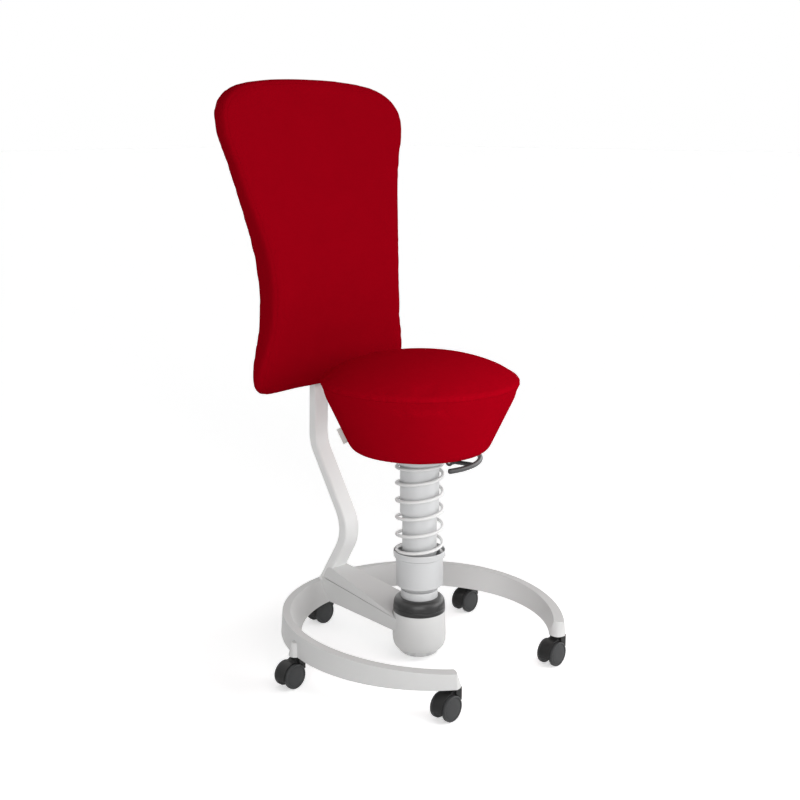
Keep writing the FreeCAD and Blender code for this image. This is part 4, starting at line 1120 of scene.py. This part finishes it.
def axleArc(radius, first, last, steps):
    rows = []
    for k in range(steps + 1):
        a = radians(first + (last - first) * k / steps)
        rows.append((radius * cos(a) - castor["trail"], radius * sin(a) + castor["wheelRadius"]))
    return rows


def hoodMesh():
    s = castorShape
    rows = [axleArc(r, s["hoodFrom"], s["hoodTo"], 26) for r in (s["hoodIn"], s["hoodOut"])]
    return flatBar(*rows, lambda side, spot: (spot[0], side * s["hoodHalf"], spot[1]))


def blockMesh():
    s = castorShape
    drop = s["blockFoot"] - castor["wheelRadius"]
    low = degrees(asin(drop / s["clear"]))
    high = degrees(acos((s["blockRear"] + castor["trail"]) / s["clear"]))
    outline = [(s["blockRear"], s["blockTop"]), (s["blockFront"], s["blockTop"]),
               (s["blockFront"], s["blockFoot"])] + axleArc(s["clear"], low, high, 8)
    return acrossMesh(outline, s["blockHalf"])


def buildHousing(name):
    s = castorShape
    web = axleArc(s["webRadius"], 0, 348, 29)
    front, top = s["blockFront"] - s["bridgeIn"], s["blockTop"] - s["bridgeDrop"]
    rear, high = -castor["trail"], castor["wheelRadius"] + s["hoodIn"] + s["bridgeRise"]
    bridge = [(rear, s["blockFoot"]), (front, s["blockFoot"]), (front, top),
              (s["blockRear"], top), (rear, high)]
    parts = [hoodMesh(), blockMesh(), acrossMesh(web, s["webHalf"]), acrossMesh(bridge, s["webHalf"])]
    return softEdges(meshPiece(name, *joinMeshes(parts)), s["edge"], 3, 32)


# wheel: rounded tread, a rim, a fine groove and a slightly domed disc
def buildWheel(name, side):
    s = castorShape
    size, face = castor["wheelRadius"], s["wheelOut"]
    piece = turnedPiece(name, [
        (s["bore"], s["wheelIn"]), (size, s["wheelIn"], 1.2), (size, face - 0.5, s["tread"]),
        (s["disc"] + 0.7, face - 0.35, 0.4), (s["disc"] + 0.2, face - 1.5, 0.2),
        (s["disc"] - 0.5, face - 1.5, 0.2), (s["disc"] - 1.2, face - 0.7, 0.5), (12.0, face - 0.15, 8.0),
        (0, face), (0, face - 3), (s["bore"], face - 3)], 72, 5, 45)
    turn = Matrix.Rotation(radians(90 if side == "a" else -90), 4, "X")
    place = Matrix.Translation((-castor["trail"] * mm, 0, size * mm))
    piece.data.transform(place @ turn)
    return piece


for i, (x, y) in enumerate(castorPlaces(), 1):
    name = "castor_%d" % i
    made = [(buildHousing("castorHousing%d" % i), "castor_plastic", name, name + "_housing")]
    for side in "ab":
        wheel = "%s_wheel_%s" % (name, side)
        made.append((buildWheel("castorWheel%d%s" % (i, side), side), "wheel_plastic", wheel, wheel))
    for piece, slotName, body, node in made:
        piece.location = (x * mm, y * mm, 0)
        dress(piece, slotName, body, [node])
print("castors built:", castor["count"])


# stage: white floor that keeps the shadow, soft lamps, camera
stage = {"floorHalf": 40.0, "plain": 0.9, "soft": 0.97, "glow": 0.46, "ambient": 0.02, "white": 1.0}


# rays by which the camera sees a thing, straight or mirrored
def seenRays(tree):
    path = put(tree, "LightPath").outputs
    mirrored = calc(tree, "MAXIMUM", path["Is Glossy Ray"], path["Is Transmission Ray"])
    return calc(tree, "MAXIMUM", path["Is Camera Ray"], mirrored)


def floorFinish():
    material, tree = emptyMaterial("paleFloor")
    plain, soft = [put(tree, "BsdfDiffuse", {"Color": (*grey(stage[key]), 1)}).outputs[0]
                   for key in ("plain", "soft")]
    glow = put(tree, "Emission", {"Color": (1, 1, 1, 1), "Strength": stage["glow"]})
    lit = put(tree, "AddShader", {0: soft, 1: glow.outputs[0]})
    both = put(tree, "MixShader", {0: seenRays(tree), 1: plain, 2: lit.outputs[0]})
    put(tree, "OutputMaterial", {"Surface": both.outputs[0]})
    return material


far = stage["floorHalf"]
floorMesh = bpy.data.meshes.new("floor")
floorMesh.from_pydata([(-far, -far, 0), (far, -far, 0), (far, far, 0), (-far, far, 0)], [], [(0, 1, 2, 3)])
floor = addObject("floor", floorMesh)
floorMesh.materials.append(floorFinish())

world = bpy.data.worlds.new("studio")
scene.world = world
world.use_nodes = True
sky = world.node_tree
sky.nodes.clear()
ambient, white = [put(sky, "Background", {"Color": (1, 1, 1, 1), "Strength": stage[key]}).outputs[0]
                  for key in ("ambient", "white")]
skyMix = put(sky, "MixShader", {0: seenRays(sky), 1: ambient, 2: white})
put(sky, "OutputWorld", {"Surface": skyMix.outputs[0]})

# azimuth counted from +X towards +Y, angles in degrees, lengths in metres
sunAngle = 50.0
boxSize = 0.9
boxAim = Vector((0.0, 0.0, 0.4))
lamps = {
    "frontLamp": {"azimuth": -140.0, "height": 11.0, "strength": 2.1},
    "rightLamp": {"azimuth": -45.0, "height": 11.0, "strength": 1.55},
    "sideLamp": {"azimuth": 0.0, "height": 11.0, "strength": 1.05},
    "leftLamp": {"azimuth": 150.0, "height": 40.0, "strength": 0.25},
    "topLamp": {"azimuth": 0.0, "height": 88.0, "strength": 0.3},
    "rearLamp": {"azimuth": 75.0, "height": 30.0, "strength": 0.45},
    "highBox": {"place": (-0.2, -0.9, 1.1), "strength": 4.2},
    "rightBox": {"place": (0.5, -1.15, 0.55), "strength": 2.6},
}
for name, lamp in lamps.items():
    light = bpy.data.lights.new(name, "AREA" if "place" in lamp else "SUN")
    light.energy = lamp["strength"]
    holder = addObject(name, light)
    if "place" in lamp:
        light.size = boxSize
        holder.location = lamp["place"]
        toward = Vector(lamp["place"]) - boxAim
        holder.visible_camera = False
    else:
        light.angle = radians(sunAngle)
        a, h = radians(lamp["azimuth"]), radians(lamp["height"])
        toward = Vector((cos(a) * cos(h), sin(a) * cos(h), sin(h)))
    holder.rotation_euler = toward.to_track_quat("Z", "Y").to_euler()

camera = {"place": (-1.8095, -1.6143, 1.0829), "look": (0.7176, 0.6615, -0.2179), "lens": 56.39}
lens = bpy.data.cameras.new("camera")
lens.lens = camera["lens"]
lens.sensor_width = 36.0
eye = addObject("camera", lens)
eye.location = camera["place"]
eye.rotation_euler = Vector(camera["look"]).to_track_quat("-Z", "Y").to_euler()
scene.camera = eye
scene.view_settings.view_transform = "Standard"
print("stage, lamps and camera set")
